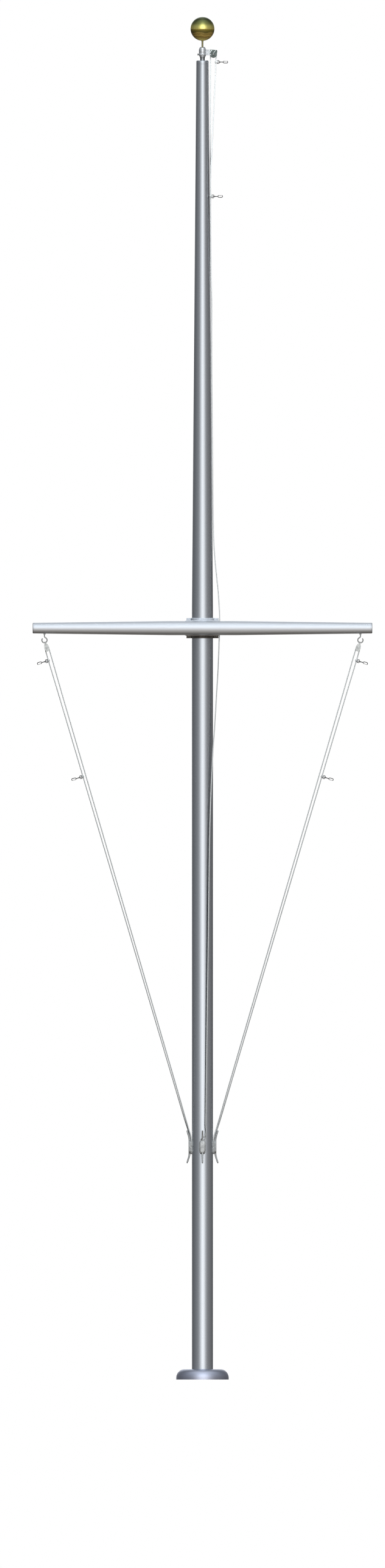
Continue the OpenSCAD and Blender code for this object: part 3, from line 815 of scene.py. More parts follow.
def make_collar():
    """The spun collar: a low upright lip, a quarter round and a flat top that turns down at its bore."""
    lip, t = 0.012, COLLAR_WALL
    wide, high = COLLAR_R - COLLAR_FLAT_R, COLLAR_H - lip
    bore = MAST_R + 0.0012
    quarter = [math.radians(a) for a in range(0, 91, 5)]
    outer = [(COLLAR_FLAT_R + wide * math.cos(a), lip + high * math.sin(a)) for a in quarter]
    inner = [(COLLAR_FLAT_R + (wide - t) * math.cos(a), lip + (high - t) * math.sin(a))
             for a in reversed(quarter)]
    rim = [(bore + 0.002, COLLAR_H), (bore, COLLAR_H - 0.0015), (bore, COLLAR_H - t)]
    section = [(COLLAR_R, 0.0), *outer, *rim, *inner, (COLLAR_R - t, 0.0)]
    mesh = turned(section, COLLAR_METAL, 160)
    piece("spun_collar", mesh, COLLAR_METAL, "root", ["flash_collar"])


# ---------------------------------------------------------------- truck and ball

def make_spindle():
    """Threaded foot, flared neck and the pin that the truck turns on, with a socket for the ball's rod."""
    thread, pin, socket = 0.0125, 0.010, ROD_R + 0.0001
    foot, seat, top = MAST_H - 0.07, MAST_H + 0.0001, BODY_TOP + 0.012
    neck = [(0.0168, seat), (0.0166, MAST_H + 0.012), (0.0172, MAST_H + 0.019), (0.01875, NECK_Z - 0.0006),
            (0.01875, NECK_Z)]
    section = [(0, foot), (thread, foot), (thread, seat), *neck, (pin, NECK_Z), (pin, top), (socket, top),
               (socket, BODY_TOP), (0, BODY_TOP)]
    mesh = new_mesh("spindle", lambda bm: revolve(bm, section, sides=48))
    piece("spindle", mesh, NECK_METAL, "root", ["truck_spindle"])


def make_ball():
    """The hollow ball, open where its rod goes in, and the rod with its small collar."""
    steps, shell = 48, 0.982
    hole = math.asin(ROD_R * 1.02 / BALL_R)
    outer = []
    for k in range(steps + 1):
        a = hole + (math.pi - hole) * k / steps
        outer.append((max(0.0, BALL_R * math.sin(a)), BALL_Z - BALL_R * math.cos(a)))
    inner = [(r * shell, BALL_Z + (z - BALL_Z) * shell) for r, z in reversed(outer)]
    mesh = new_mesh("ball", lambda bm: revolve(bm, outer + inner + [outer[0]], sides=96))
    piece("gold_ball", mesh, GOLD, "root", ["ball"])
    foot, seat = BODY_TOP + 0.0005, BALL_Z - BALL_R
    thin, collar = ROD_R - 0.0002, ROD_R + 0.0012
    rod = [(0, foot), (ROD_R, foot), (ROD_R, seat - 0.004), (collar, seat - 0.003), (collar, seat + 0.0008),
           (thin, seat + 0.001), (thin, seat + 0.022), (0, seat + 0.022)]
    mesh = new_mesh("rod", lambda bm: revolve(bm, rod, sides=32))
    piece("ball_stem", mesh, OLD_BRASS, "root", ["ball_rod"])


def make_truck_housing():
    """The washer that the truck turns on and the housing: a cone, a raised band and a plain barrel."""
    low, bore = NECK_Z + WASHER, 0.0104
    washer = [(0.0105, NECK_Z), (0.0178, NECK_Z), (0.0178, low), (0.0105, low)]
    piece("thrust_washer", turned(washer, DARK_STEEL, 48), DARK_STEEL, "truck")
    cone = [(bore, low), (0.0189, low), (0.0232, BAND_LOW - 0.003)]
    band = [(0.0250, BAND_LOW), (0.0253, BAND_LOW + 0.001), (0.0253, BAND_TOP - 0.001), (0.0247, BAND_TOP)]
    barrel = [(0.0244, BAND_TOP + 0.001), (0.0247, BAND_TOP + 0.002), (0.0247, BODY_TOP - 0.0006),
              (0.0241, BODY_TOP), (bore, BODY_TOP)]
    mesh = turned(cone + band + barrel, TRUCK_CAST, 96)
    piece("truck_casting", mesh, TRUCK_CAST, "truck", ["truck_body"])


def make_truck_arm():
    """The arm's two sides with a rail along each foot, and the web that joins them on top."""
    root, tip = 0.0225, 0.056

    def arm(bm):
        side = filleted(
            [(root, ARM_BASE + 0.004), (tip, ARM_BASE), (tip, ARM_TOP - 0.001), (root, ARM_TOP)], 0.001)
        low, high = ARM_BASE - 0.0005, ARM_BASE + 0.0055
        rail = filleted([(root, low), (0.060, low), (0.060, high), (root, high)], 0.0015)
        for face in (-1, 1):
            plate(bm, side, -0.0022, 0.0022, on_side(face * CHEEK_Y), 0.0005)
            plate(bm, rail, -0.0012, 0.0012, on_side(face * 0.0132), 0.0006)
        web = [(root, SHEAVE.z + 0.027), (0.100, SHEAVE.z + 0.026), (0.1005, SHEAVE.z + 0.0295),
               (root, ARM_TOP)]
        plate(bm, filleted(web, 0.001), -0.0125, 0.0125, on_side(0), 0.0005)

    piece("truck_arm", new_mesh("arm", arm), ARM_GREY, "truck")


def make_hood():
    """The darker cheeks that hold the sheave, each with a boss round the axle, and the ribs on them."""
    root = 0.054
    lobe = arc((SHEAVE.x, SHEAVE.z), 0.0235, 192, 348, 20)
    nose = [(0.1025, SHEAVE.z + 0.016), (0.1035, SHEAVE.z + 0.024), (0.100, SHEAVE.z + 0.0298)]
    outline = filleted([(root, SHEAVE.z + 0.012), *lobe, *nose, (root, ARM_TOP)], 0.0008, 2)
    boss = [(0.0040, 0.0026), (0.0100, 0.0026), (0.0095, 0.0042), (0.0040, 0.0042), (0.0040, 0.0026)]

    def cheeks(bm):
        for face in (-1, 1):
            plate(bm, outline, -0.0026, 0.0026, on_side(face * CHEEK_Y), 0.0007)
            revolve(bm, boss, facing((SHEAVE.x, face * CHEEK_Y, SHEAVE.z), (0, face, 0), (1, 0, 0)), 32)

    piece("sheave_hood", new_mesh("cheeks", cheeks), ARM_CAST, "truck")
    ribs = []
    for face in (-1, 1):
        for start, count, wide, off in ((0.0445, 2, 0.0042, 0.0115), (0.0845, 1, 0.0028, 0.0136)):
            bars = run_tree(RIBS, bpy.data.meshes.new("start"), {
                "Count": count, "Spacing": (0.0128, 0, 0), "Size": (wide, 0.0054, 0.034),
                "Lean": (0, 0.62, 0), "Finish": RIB_CAST})
            bars.transform(Matrix.Translation((start, face * off, SHEAVE.z + 0.0185)))
            trim_to_hood(bars)
            ribs.append(bars)
    piece("hood_ribs", joined(*ribs), RIB_CAST, "truck")


def trim_to_hood(mesh):
    """Keeps the part of the ribs that lies on the arm and its hood."""
    bm = bmesh.new()
    bm.from_mesh(mesh)
    planes = [((0, 0, ARM_TOP - 0.003), (0, 0, 1)), ((0, 0, SHEAVE.z + 0.006), (0, 0, -1)),
              ((0.0300, 0, 0), (-1, 0, 0)), ((0.1000, 0, 0), (1, 0, 0))]
    for point, normal in planes:
        everything = bm.verts[:] + bm.edges[:] + bm.faces[:]
        cut = bmesh.ops.bisect_plane(bm, geom=everything, plane_co=point, plane_no=normal, clear_outer=True)
        edges = [e for e in cut["geom_cut"] if isinstance(e, bmesh.types.BMEdge)]
        if edges:
            bmesh.ops.holes_fill(bm, edges=edges)
    bm.to_mesh(mesh)
    bm.free()


def make_truck_lid():
    """The domed cap over the housing and the dark socket screw in its slope."""
    bore, rim = 0.0105, ROD_R + 0.0012
    cap = [(bore, BODY_TOP), (0.0224, BODY_TOP), (0.0226, BODY_TOP + 0.0012), (0.0212, BODY_TOP + 0.0075),
           (0.0185, CAP_TOP - 0.0030), (0.0150, CAP_TOP - 0.0004), (0.0135, CAP_TOP), (rim, CAP_TOP),
           (ROD_R + 0.0010, CAP_TOP - 0.003), (bore, CAP_TOP - 0.003)]
    piece("truck_lid", turned(cap, TRUCK_CAST, 64), TRUCK_CAST, "truck", ["truck_cap"])
    spot = facing((0.0126, -0.0158, BODY_TOP + 0.0068), (0.6, -0.76, 0.25), (0, 0, 1))
    hollow = [(0.0016, 0.0006), (0.0034, 0.0006), (0.0036, 0.0002), (0.0036, -0.004), (0, -0.004),
              (0, -0.001), (0.0016, -0.001), (0.0016, 0.0006)]
    mesh = new_mesh("screw", lambda bm: revolve(bm, hollow, spot, 24))
    piece("lid_screw", mesh, BLACK_HOLE, "truck")


def make_sheave(name, centre, groove, half, bore, body, node):
    """A grooved wheel with a raised hub, on an axle along y."""
    rim = groove + (0.0045 if half > 0.006 else 0.004)
    fit = ROPE_R + 0.0004
    seat = arc((groove, 0), fit, -90, -270, 14)
    outline = [(bore, -half), (bore + 0.003, -half), (bore + 0.004, -half + 0.0012),
               (rim - 0.005, -half + 0.0012), (rim - 0.0035, -half + 0.0002), (rim - 0.0006, -half + 0.0002),
               (rim, -half + 0.0008), (rim, -fit)]
    section = outline + seat + [(r, -z) for r, z in reversed(outline)]
    place = Matrix.Translation(centre) @ Matrix.Rotation(math.pi / 2, 4, "X")
    piece(name, turned(section, DARK_STEEL, 64, place), DARK_STEEL, body, [node])


# ---------------------------------------------------------------- yardarm

def make_yard():
    """The yard's tube, straight in the middle and tapered to both ends, and its two rolled caps."""
    end, wall, roll = YARD_HALF - CAP_LEN, 0.004, 0.006
    half = []
    for k in range(7):
        t = k / 6
        half.append((YARD_R + (YARD_END_R - YARD_R) * t, YARD_MID + (end - YARD_MID) * t))
    middle = [(YARD_R, YARD_MID * k / 3) for k in range(-2, 3)]
    outer = [(r, -z) for r, z in reversed(half)] + middle + half
    thick, thin = half[0], half[-1]
    bore = [(r - wall, z) for r, z in (thin, thick, (thick[0], -thick[1]), (thin[0], -thin[1]))]
    place = Matrix.Translation(YARD) @ Matrix.Rotation(math.pi / 2, 4, "Y")
    mesh = turned(outer + bore, YARD_METAL, 128, place)
    piece("yard_tube", mesh, YARD_METAL, "root", ["yardarm"])
    e, plug, face = YARD_END_R, YARD_END_R - wall - 0.0003, YARD_HALF - 0.0008
    rim = arc((e - roll, YARD_HALF - roll), roll, 0, 90, 6)
    profile = [(0, YARD_HALF - 0.03), (plug, YARD_HALF - 0.03), (plug, end), (e - 0.0005, end),
               (e, end + 0.0006), *rim, (e - 0.010, YARD_HALF), (e - 0.0115, face), (0, face)]
    caps = []
    for side in (-1, 1):
        turn = Matrix.Translation(YARD) @ Matrix.Rotation(side * math.pi / 2, 4, "Y")
        caps.append(new_mesh("cap", lambda bm: revolve(bm, profile, turn, 64)))
    piece("yard_caps", joined(*caps), YARD_METAL, "root", ["yard_end_caps"])


def clamp_half(bm, face):
    """Half of the clamp: a curved plate round the mast with a flat ear at each side, its edges rounded."""
    inner, outer = MAST_R + 0.0001, MAST_R + 0.009
    root, skin = 0.003, 0.013
    start = math.degrees(math.asin(root / inner))
    corner = math.degrees(math.asin(skin / outer))
    bore = arc((0, 0), inner, start, 180 - start, 48)
    back = arc((0, 0), outer, 180 - corner, corner, 48)
    outline = [(EAR_X, root), *bore, (-EAR_X, root), (-EAR_X, skin), *back, (EAR_X, skin)]
    plate(bm, [(x, face * y) for x, y in outline], YARD.z - CLAMP_HALF, YARD.z + CLAMP_HALF, cut=0.0012)


def cradle(bm):
    """The trough that the yard lies in, thinning to an edge at both ends."""
    low, high = YARD_R + 0.0003, YARD_R + 0.0042
    angles = [math.radians(a) for a in np.linspace(-4, 184, 41)]
    near_end = [(-0.122, low + 0.0006), (-0.1165, low + 0.0020), (-EAR_X, high)]
    rows = []
    for x, outer in near_end + [(-x, outer) for x, outer in reversed(near_end)]:
        section = [(low * math.sin(a), low * math.cos(a)) for a in angles]
        section += [(outer * math.sin(a), outer * math.cos(a)) for a in reversed(angles)]
        rows.append([Vector((x, YARD.y + y, YARD.z + z)) for y, z in section])
    loft(bm, rows, Matrix())


def make_saddle():
    """The casting between mast and yard, the rear half of its clamp and the four bolts."""
    def front(bm):
        clamp_half(bm, -1)
        cradle(bm)
        panel = [(-0.090, -0.045), (-0.004, -0.045), (-0.004, 0.045), (-0.090, 0.045)]
        for x in (-0.055, 0.055):
            plate(bm, panel, -0.006, 0.006, facing((x, 0, YARD.z), (1, 0, 0), (0, 1, 0)), 0.001)

    mesh = new_mesh("saddle", front)
    piece("saddle_casting", mesh, SADDLE_CAST, "root", ["yard_saddle"])
    rear = new_mesh("clamp", lambda bm: clamp_half(bm, 1))
    piece("clamp_half", rear, SADDLE_CAST, "root", ["yard_clamp_band"])
    spots = [(x, YARD.z + z) for x in (-0.096, 0.096) for z in (-0.04825, 0.04825)]
    places, axes = [], []
    for x, z in spots:
        places += [(x, -0.0166, z), (x, 0.0171, z)]
        axes += [(0, -1, 0), (0, 1, 0)]
    heads = hexes(places, axes, 0.016, 0.007, EYE_STEEL)
    shank = [(0, -0.0205), (0.0042, -0.0205), (0.005, -0.0195), (0.005, 0.0235), (0.0042, 0.0243),
             (0, 0.0243)]

    def shanks(bm):
        for x, z in spots:
            revolve(bm, shank, pin_place(x, z), 20)

    bolts = joined(heads, new_mesh("shanks", shanks))
    piece("clamp_bolts", bolts, EYE_STEEL, "root", ["yard_clamp_bolts"])


def eye_place(side):
    """Centre of an eye bolt's ring."""
    out = BLOCK.x + EYE_RISE * math.sin(LEAN)
    return Vector((side * out, BLOCK.y, BLOCK.z + EYE_RISE * math.cos(LEAN)))


def make_eyes():
    """The two eye bolts: a shank that bends into an open ring, with a nut under the yard."""
    wire, bend = 0.004, 0.008
    top, under = YARD.z - 0.02, YARD.z - 0.0383
    meshes = []
    for side in (-1, 1):
        centre = eye_place(side)
        drop = (top - centre.z - RING_R - bend) / 4
        shank = [Vector((centre.x, centre.y, top - k * drop)) for k in range(5)]
        angles = [math.radians(100 + 292 * k / 40) for k in range(41)]
        ring = [centre + RING_R * Vector((side * math.cos(a), 0, math.sin(a))) for a in angles]
        path, radii = round_end(smooth_route(shank + ring[1:], 0.002), wire)
        meshes.append(new_mesh("eye", lambda bm: sweep(bm, path, radii, 20, first=(0, 1, 0))))
        nut = (centre.x, centre.y, under - 0.0032)
        meshes.append(hexes([nut], [(0, 0, 1)], 0.0135, 0.0055, EYE_STEEL))
    piece("eye_rings", joined(*meshes), EYE_STEEL, "root", ["eye_bolts"])


# ---------------------------------------------------------------- blocks

def block_place(side):
    """Local z up the falls and local y along the axle."""
    return Matrix.Translation((side * BLOCK.x, BLOCK.y, BLOCK.z)) @ Matrix.Rotation(side * LEAN, 4, "Y")


def make_block(side, label):
    """A halyard block: two oval cheeks with straps and bosses, their pins, the axle and the becket."""
    place = block_place(side)
    flank = [(0.0170, -0.002), (0.0155, 0.008), (0.0125, 0.018), (0.0080, 0.0262), (0.0030, 0.0292)]
    oval = arc((0, -0.0115), 0.0172, 180, 360, 20) + flank + [(-x, z) for x, z in reversed(flank)]
    strap = filleted([(-0.004, -0.029), (0.004, -0.029), (0.004, 0.029), (-0.004, 0.029)], 0.003)
    boss = [(0.0062, 0.003), (0.0062, 0.0042), (0.0062, 0.0052), (0.0050, 0.0062), (0, 0.0064)]
    pin = [(0, -0.0112), (0.0022, -0.0110), (0.0032, -0.0104), (0.0032, 0.0104), (0.0022, 0.0110),
           (0, 0.0112)]
    axle = [(0, -0.0108), (0.003, -0.0108), (0.003, 0.0108), (0, 0.0108)]
    foot, bridge, gap = 0.018, 0.034, 0.0075

    def build(bm):
        for face in (-1, 1):
            cheek = place @ facing((0, face * 0.006, 0), (0, face, 0), (1, 0, 0))
            plate(bm, [(x, -face * z) for x, z in oval], 0, 0.003, cheek, 0.0008)
            plate(bm, strap, 0.003, 0.0042, cheek, 0.0005)
            revolve(bm, boss, cheek, 24)
        for up in (-0.025, 0.025):
            revolve(bm, pin, place @ pin_place(0, up), 20)
        revolve(bm, axle, place @ pin_place(0, 0), 20)
        over = [Vector((0, gap * math.cos(a), bridge + gap * math.sin(a)))
                for a in [math.pi * k / 12 for k in range(13)]]
        becket = [Vector((0, gap, foot)), *over, Vector((0, -gap, foot))]
        sweep(bm, [place @ p for p in becket], 0.002, 12, first=(1, 0, 0))

    piece("block_" + label, new_mesh("block", build), BLOCK_METAL, "root",
          ["block_shell_" + label])


# ---------------------------------------------------------------- cleats

def oval_ring(reach, radius, out, steps=14):
    """A long rounded outline in z, at a distance off the mast's face."""
    ends = arc((0, reach), radius, 0, 180, steps) + arc((0, -reach), radius, 180, 360, steps)
    return [Vector((MAST_R + out, u, w)) for u, w in ends]


def loft(bm, rings, place):
    """A closed skin over rings of equal count."""
    skins = [[bm.verts.new(place @ p) for p in ring] for ring in rings]
    count = len(skins[0])
    for low, high in zip(skins, skins[1:]):
        for k in range(count):
            m = (k + 1) % count
            bm.faces.new((low[k], low[m], high[m], high[k]))
    bm.faces.new(list(reversed(skins[0])))
    bm.faces.new(skins[-1])


def make_horn(bm, place, up):
    """One of a cleat's horns, from inside the pad out to its round tip; up is 1 or -1."""
    # outward from the mast's skin, away from the cleat's middle, and the radius, all in mm
    spine = [(15.8, 36, 6.8), (15.9, 47, 6.7), (17.3, 58, 6.5), (21.2, 74, 6.2), (26.2, 90, 5.8),
             (32.4, 109.2, 5.2)]
    points = [Vector((MAST_R + out * MM, 0, up * away * MM)) for out, away, _ in spine]
    fine, radii = tapered(points, [r * MM for _, _, r in spine], 0.004)
    nose, tip = fine[-1], radii[-1]
    lead = (nose - fine[-2]).normalized()
    for k in range(1, 7):
        a = math.pi / 2 * k / 6.4
        fine.append(nose + lead * tip * math.sin(a))
        radii.append(tip * math.cos(a))
    sweep(bm, [place @ q for q in fine], radii, 20, first=place.to_3x3() @ Vector((1, 0, 0)))


def make_cleat(heading, label):
    """An oval pad on a narrower neck, a flange bent to the mast, and a horn at each end."""
    place = Matrix.Translation((0, 0, CLEAT_Z)) @ Matrix.Rotation(math.radians(heading), 4, "Z")
    # each ring's inset from the full outline and its distance off the mast
    flange = [(0, -0.0046), (0, -0.0010), (0.0006, -0.0002), (0.0018, 0.0004), (0.0070, 0.0004)]
    neck = [(0, 0.0002), (0, 0.0096)]
    pad = [(0.0030, 0.0092), (0.0008, 0.0096), (0, 0.0112), (0, 0.0150), (0.0006, 0.0164), (0.0016, 0.0170),
           (0.0022, 0.0168), (0.0025, 0.0148), (0.0037, 0.0148), (0.0040, 0.0180), (0.0048, 0.0202),
           (0.0068, 0.0217), (0.0100, 0.0224), (0.0150, 0.0226), (0.0200, 0.0226)]

    def build(bm):
        loft(bm, [bent(oval_ring(0.033, 0.021 - inset, out), out) for inset, out in flange], place)
        loft(bm, [oval_ring(NECK_REACH, NECK_R - inset, out) for inset, out in neck], place)
        loft(bm, [oval_ring(0.025, 0.023 - inset, out) for inset, out in pad], place)
        for up in (-1, 1):
            make_horn(bm, place, up)

    piece("cleat_horns_" + label, new_mesh("cleat", build), CLEAT_CAST, "root",
          ["cleat_" + label])


def bent(ring, out):
    """Lowers the foot of a flange on to the round of the mast."""
    if out > -0.004:
        return ring
    return [Vector((math.sqrt(MAST_R ** 2 - p.y ** 2) + 0.0001, p.y, p.z)) for p in ring]


# ---------------------------------------------------------------- snaps

def snap_place(point, heading, dip, roll):
    """Local x outward along the shank and local z along the rope."""
    turn = Matrix.Rotation(math.radians(heading), 4, "Z") @ Matrix.Rotation(math.radians(dip), 4, "Y")
    return Matrix.Translation(point) @ turn @ Matrix.Rotation(math.radians(roll), 4, "X")


def fall_y(drop):
    """How far in front of the mast a yard halyard is, a given way down the fall."""
    return BLOCK.y * (1 - drop * math.cos(LEAN) / (BLOCK.z - CLEAT_Z - 0.1))


def side_snap(side, height):
    """Where a snap hangs on a side fall."""
    drop = height / math.cos(LEAN)
    x = BLOCK.x - drop * math.sin(LEAN) + BLOCK_GROOVE_R * math.cos(LEAN)
    z = BLOCK.z - drop * math.cos(LEAN) - BLOCK_GROOVE_R * math.sin(LEAN)
    return Vector((side * x, fall_y(drop), z))


LEAN_DEG = math.degrees(LEAN)
SNAPS = {
    "mast_upper": snap_place(Vector((0.0936, -0.002, 9.133)), 0, 0, 0),
    "mast_lower": snap_place(Vector((0.057, -0.030, 8.202)), 0, 0, 0),
    "left_upper": snap_place(side_snap(-1, 0.088), 180, LEAN_DEG, 180),
    "left_lower": snap_place(side_snap(-1, 0.892), 180, LEAN_DEG, 180),
    "right_upper": snap_place(side_snap(1, 0.088), 0, LEAN_DEG, 180),
    "right_lower": snap_place(side_snap(1, 0.892), 0, LEAN_DEG, 180),
}


def make_bail(label, place, body):
    """A squared wire bail with a swivel boss on its outer bar."""
    corners = [(0.007, 0, -0.0105), (0.022, 0, -0.0105), (0.022, 0, 0.0105), (0.007, 0, 0.0105)]
    loop = [place @ p for p in filleted(corners, 0.005, 5)]
    boss = [(0.0026, 0.0196), (0.0046, 0.0196), (0.005, 0.0202), (0.005, 0.0262), (0.0044, 0.0269),
            (0.0026, 0.0269), (0.0026, 0.0196)]

    def build(bm):
        sweep(bm, loop, 0.0024, 12, closed=True, first=place.to_3x3() @ Vector((0, 1, 0)))
        revolve(bm, boss, place @ facing((0, 0, 0), (1, 0, 0), (0, 1, 0)), 24)

    piece("snap_bail_" + label, new_mesh("bail", build), BAIL_METAL, body,
          ["bail_" + label])


def make_hook(label, place, body):
    """Swivel pin, collared shank and a hooked bow that thickens round its nose."""
    axis = place @ facing((0, 0, 0), (1, 0, 0), (0, 1, 0))
    sideways = place.to_3x3() @ Vector((0, 1, 0))
    # along the shank, up, and the wire's thickness before it is drawn down, in mm
    bow = [(50.0, 0, 3.0), (51.5, -3.5, 2.9), (55.0, -6.4, 2.7), (59.5, -7.0, 2.6), (67.0, -7.0, 2.7),
           (74.5, -7.0, 2.8), (78.6, -5.8, 2.8), (81.2, -2.5, 2.7), (81.5, 1.0, 2.6), (80.3, 4.3, 2.4),
           (78.0, 6.4, 2.2), (76.6, 7.0, 2.0)]
    drawn = 0.93
    pin = [(0, 0.0155), (0.0034, 0.0155), (0.0038, 0.0162), (0.0038, 0.0180), (0.0022, 0.0185),
           (0.0022, 0.0275), (0.0040, 0.0276), (0.0044, 0.0282), (0.0044, 0.0300), (0.0032, 0.0312),
           (0.0028, 0.0400), (0.0030, 0.0470), (0.0036, 0.0490), (0.0036, 0.0515), (0.0028, 0.0528),
           (0, 0.0530)]
    lug = [(0.0012, -0.0025), (0.0026, -0.0025), (0.0026, 0.0025), (0.0012, 0.0025), (0.0012, -0.0025)]
    stem = [Vector((0.0500, 0, 0.0015)), Vector((0.0512, 0, 0.0040)), Vector((0.0528, 0, 0.0056))]

    def build(bm):
        revolve(bm, pin, axis, 24)
        points = [Vector((x * MM, 0, z * MM)) for x, z, _ in bow]
        route, radii = tapered(points, [r * MM * drawn for _, _, r in bow], 0.0012)
        sweep(bm, [place @ p for p in route], radii, 14, first=sideways)
        revolve(bm, lug, place @ pin_place(0.054, 0.006), 20)
        sweep(bm, [place @ p for p in stem], 0.0019, 12, first=sideways)

    piece("snap_hook_" + label, new_mesh("hook", build), SNAP_METAL, body, ["hook_" + label])


def make_gate(label, place, body):
    """A folded spring leaf with two ears on a riveted pin."""
    leaf = filleted(
        [(0.0574, 0.00425), (0.0750, 0.0046), (0.0754, 0.0066), (0.0735, 0.0075), (0.0574, 0.00775)], 0.0008)
    ear = arc((0.054, 0.006), 0.002, 90, 270, 10) + arc((0.0585, 0.006), 0.00175, -90, 90, 8)
    bridge = [(0.0578, 0.0043), (0.0598, 0.0043), (0.0598, 0.00775), (0.0578, 0.00775)]
    rivet = [(0, -0.0038), (0.0013, -0.0038), (0.0013, -0.0035), (0.0009, -0.0034), (0.0009, 0.0034),
             (0.0013, 0.0035), (0.0013, 0.0038), (0, 0.0038)]

    def build(bm):
        plate(bm, leaf, -0.002, 0.002, place @ on_side(0), 0.0004)
        for face in (-1, 1):
            plate(bm, ear, -0.0005, 0.0005, place @ on_side(face * 0.0033), 0.0002)
        plate(bm, bridge, -0.0038, 0.0038, place @ on_side(0), 0.0003)
        revolve(bm, rivet, place @ pin_place(0.054, 0.006), 14)

    piece("snap_gate_" + label, new_mesh("gate", build), BAIL_METAL, body,
          ["gate_" + label])


def make_hitch(label, place, body):
    """Turns of light line that seize a bail to the halyard."""
    turns, pitch, steps = 3, 0.0042, 20

    def build(bm):
        route = []
        for k in range(turns * steps + 1):
            a = 2 * math.pi * k / steps
            along = pitch * (k / steps - turns / 2)
            route.append(place @ Vector((0.0028 + 0.0094 * math.cos(a), 0.0072 * math.sin(a), along)))
        path, radii = round_end(route, 0.0019, 3)
        sweep(bm, path, radii, 10, uv_length=0.010)

    return piece("hitch_" + label, new_mesh("hitch", build), ROPE, body)


# ---------------------------------------------------------------- halyards

# half a turn round a cleat's neck and the two leads above it, in mm: sideways, outward, up
LANE = NECK_R / MM + ROPE_R / MM + 0.5
LANE_OUT = 0.8 + ROPE_R / MM
TURN = [(-LANE, LANE_OUT, w) for w in (-8, -20)]
TURN += [(x, LANE_OUT, y) for x, y in arc((0, -NECK_REACH / MM), LANE, 180, 360, 8)]
TURN += [(LANE, LANE_OUT, w) for w in (-12, 12, 31)]
LEAD_FRONT = [(18.5, 4.9, 46), (21, 5.5, 60), (24.5, 8.5, 76), (26, 12.5, 100)]
LEAD_SIDE = [(18.5, 4.9, 46), (20, 7.5, 64), (17, 14, 86), (11.5, 23, 108), (7, 41, 160)]
END_FRONT = [(22, 5.5, 100), (16, 4.9, 76), (4, 4.8, 64), (-8, 4.8, 56), (-15.5, 4.8, 44),
             (-LANE, LANE_OUT, 30), (-LANE, LANE_OUT, 6)]
END_SIDE = [(-6, 19, 114), (-10, 12.5, 95), (-13, 8, 78), (-15.5, 5.4, 60), (-17.3, 4.8, 44),
            (-LANE, LANE_OUT, 30), (-LANE, LANE_OUT, 6)]
# the fall with the snaps, from the front cleat up to the truck sheave, in mm
MAST_FALL = [(23, -88, 1760), (24, -86, 1900), (32, -84, 2500), (41, -81, 3100), (52, -73, 3867),
             (74, -60, 4380), (83, -56, 4500), (91, -52, 4627), (98, -48, 4753), (106, -44, 4880),
             (112, -41, 5007), (116, -38, 5133), (119.5, -36, 5260), (117, -33, 5344), (108.5, -30, 5470),
             (95.5, -26, 5597), (84, -20, 5724), (77, -14, 5850), (73, -10, 6100), (69, -7, 6600),
             (65, -6, 7100), (65.5, -7, 7369), (65, -9, 7495), (60.5, -14, 7622), (58, -24, 7875),
             (57, -30, 8128), (57, -30, 8202), (57, -30, 8255), (58.7, -26, 8382), (65.9, -19, 8508),
             (71, -13, 8635), (76.9, -8, 8761), (82.4, -5, 8888), (90.8, -2, 9057), (92.6, -2, 9133),
             (95.9, 0, 9166)]
# the other fall, from the sheave down to the front cleat, in mm
MAST_RETURN = [(56, 0, 9166), (56, 1, 9080), (56, 4, 8800), (55, 9, 8500), (55, 13, 8255), (55, 13, 8128),
               (57, 9, 7875), (60.5, 6, 7622), (64, 6, 7495), (64.5, 6, 7369), (64.5, 6, 7100),
               (69, 4, 6600), (73, 2, 6100), (77, -2, 5850), (84, -8, 5724), (95.5, -14, 5597),
               (108.5, -18, 5470), (117, -21, 5344), (119.5, -24, 5260), (116, -26, 5133), (112, -29, 5007),
               (106, -32, 4880), (98, -36, 4753), (91, -40, 4627), (83, -44, 4500), (74, -48, 4380),
               (52, -62, 3867), (41, -70, 3100), (33, -74, 2500), (26, -76, 1900), (24, -77, 1760)]


def on_cleat(points, heading, flip=1):
    """Points given from a cleat's middle, in the frame."""
    h = math.radians(heading)
    out = []
    for side, away, up in points:
        r, w = MAST_R + away * MM, side * flip * MM
        x, y = r * math.cos(h) - w * math.sin(h), r * math.sin(h) + w * math.cos(h)
        out.append(Vector((x, y, CLEAT_Z + up * MM)))
    return out


def rope_mesh(name, route):
    """A braided rope along a route, and the centreline it was made on."""
    path = smooth_route(route, 0.008)
    walk, radii = round_end(path, ROPE_R * 0.99, 3)
    return new_mesh(name, lambda bm: sweep(bm, walk, radii, 12, uv_length=0.024)), path


def make_mast_halyard():
    """The rope from the front cleat over the truck's sheave and back, with what hangs on it."""
    over = [SHEAVE + GROOVE_R * Vector((math.cos(a), 0, math.sin(a)))
            for a in [math.radians(22.5 * k) for k in range(9)]]
    up = [Vector(p) * MM for p in MAST_FALL]
    down = [Vector(p) * MM for p in MAST_RETURN]
    route = on_cleat(TURN + LEAD_FRONT, -90) + up + over + down + on_cleat(END_FRONT, -90)
    mesh, path = rope_mesh("mast_rope", route)
    obj = piece_free("mast_halyard_rope", mesh, ROPE, ["mast_halyard"])
    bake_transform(obj)
    carried = ("mast_upper", "mast_lower")
    hitches = [make_hitch(label, SNAPS[label], "truck") for label in carried]


def piece_free(name, mesh, material, stands_for):
    """An object with no parent, for a piece that runs between two bodies."""
    mesh.materials.append(material)
    mesh.shade_smooth()
    obj = bpy.data.objects.new(name, mesh)
    scene.collection.objects.link(obj)
    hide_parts(*stands_for)
    return obj


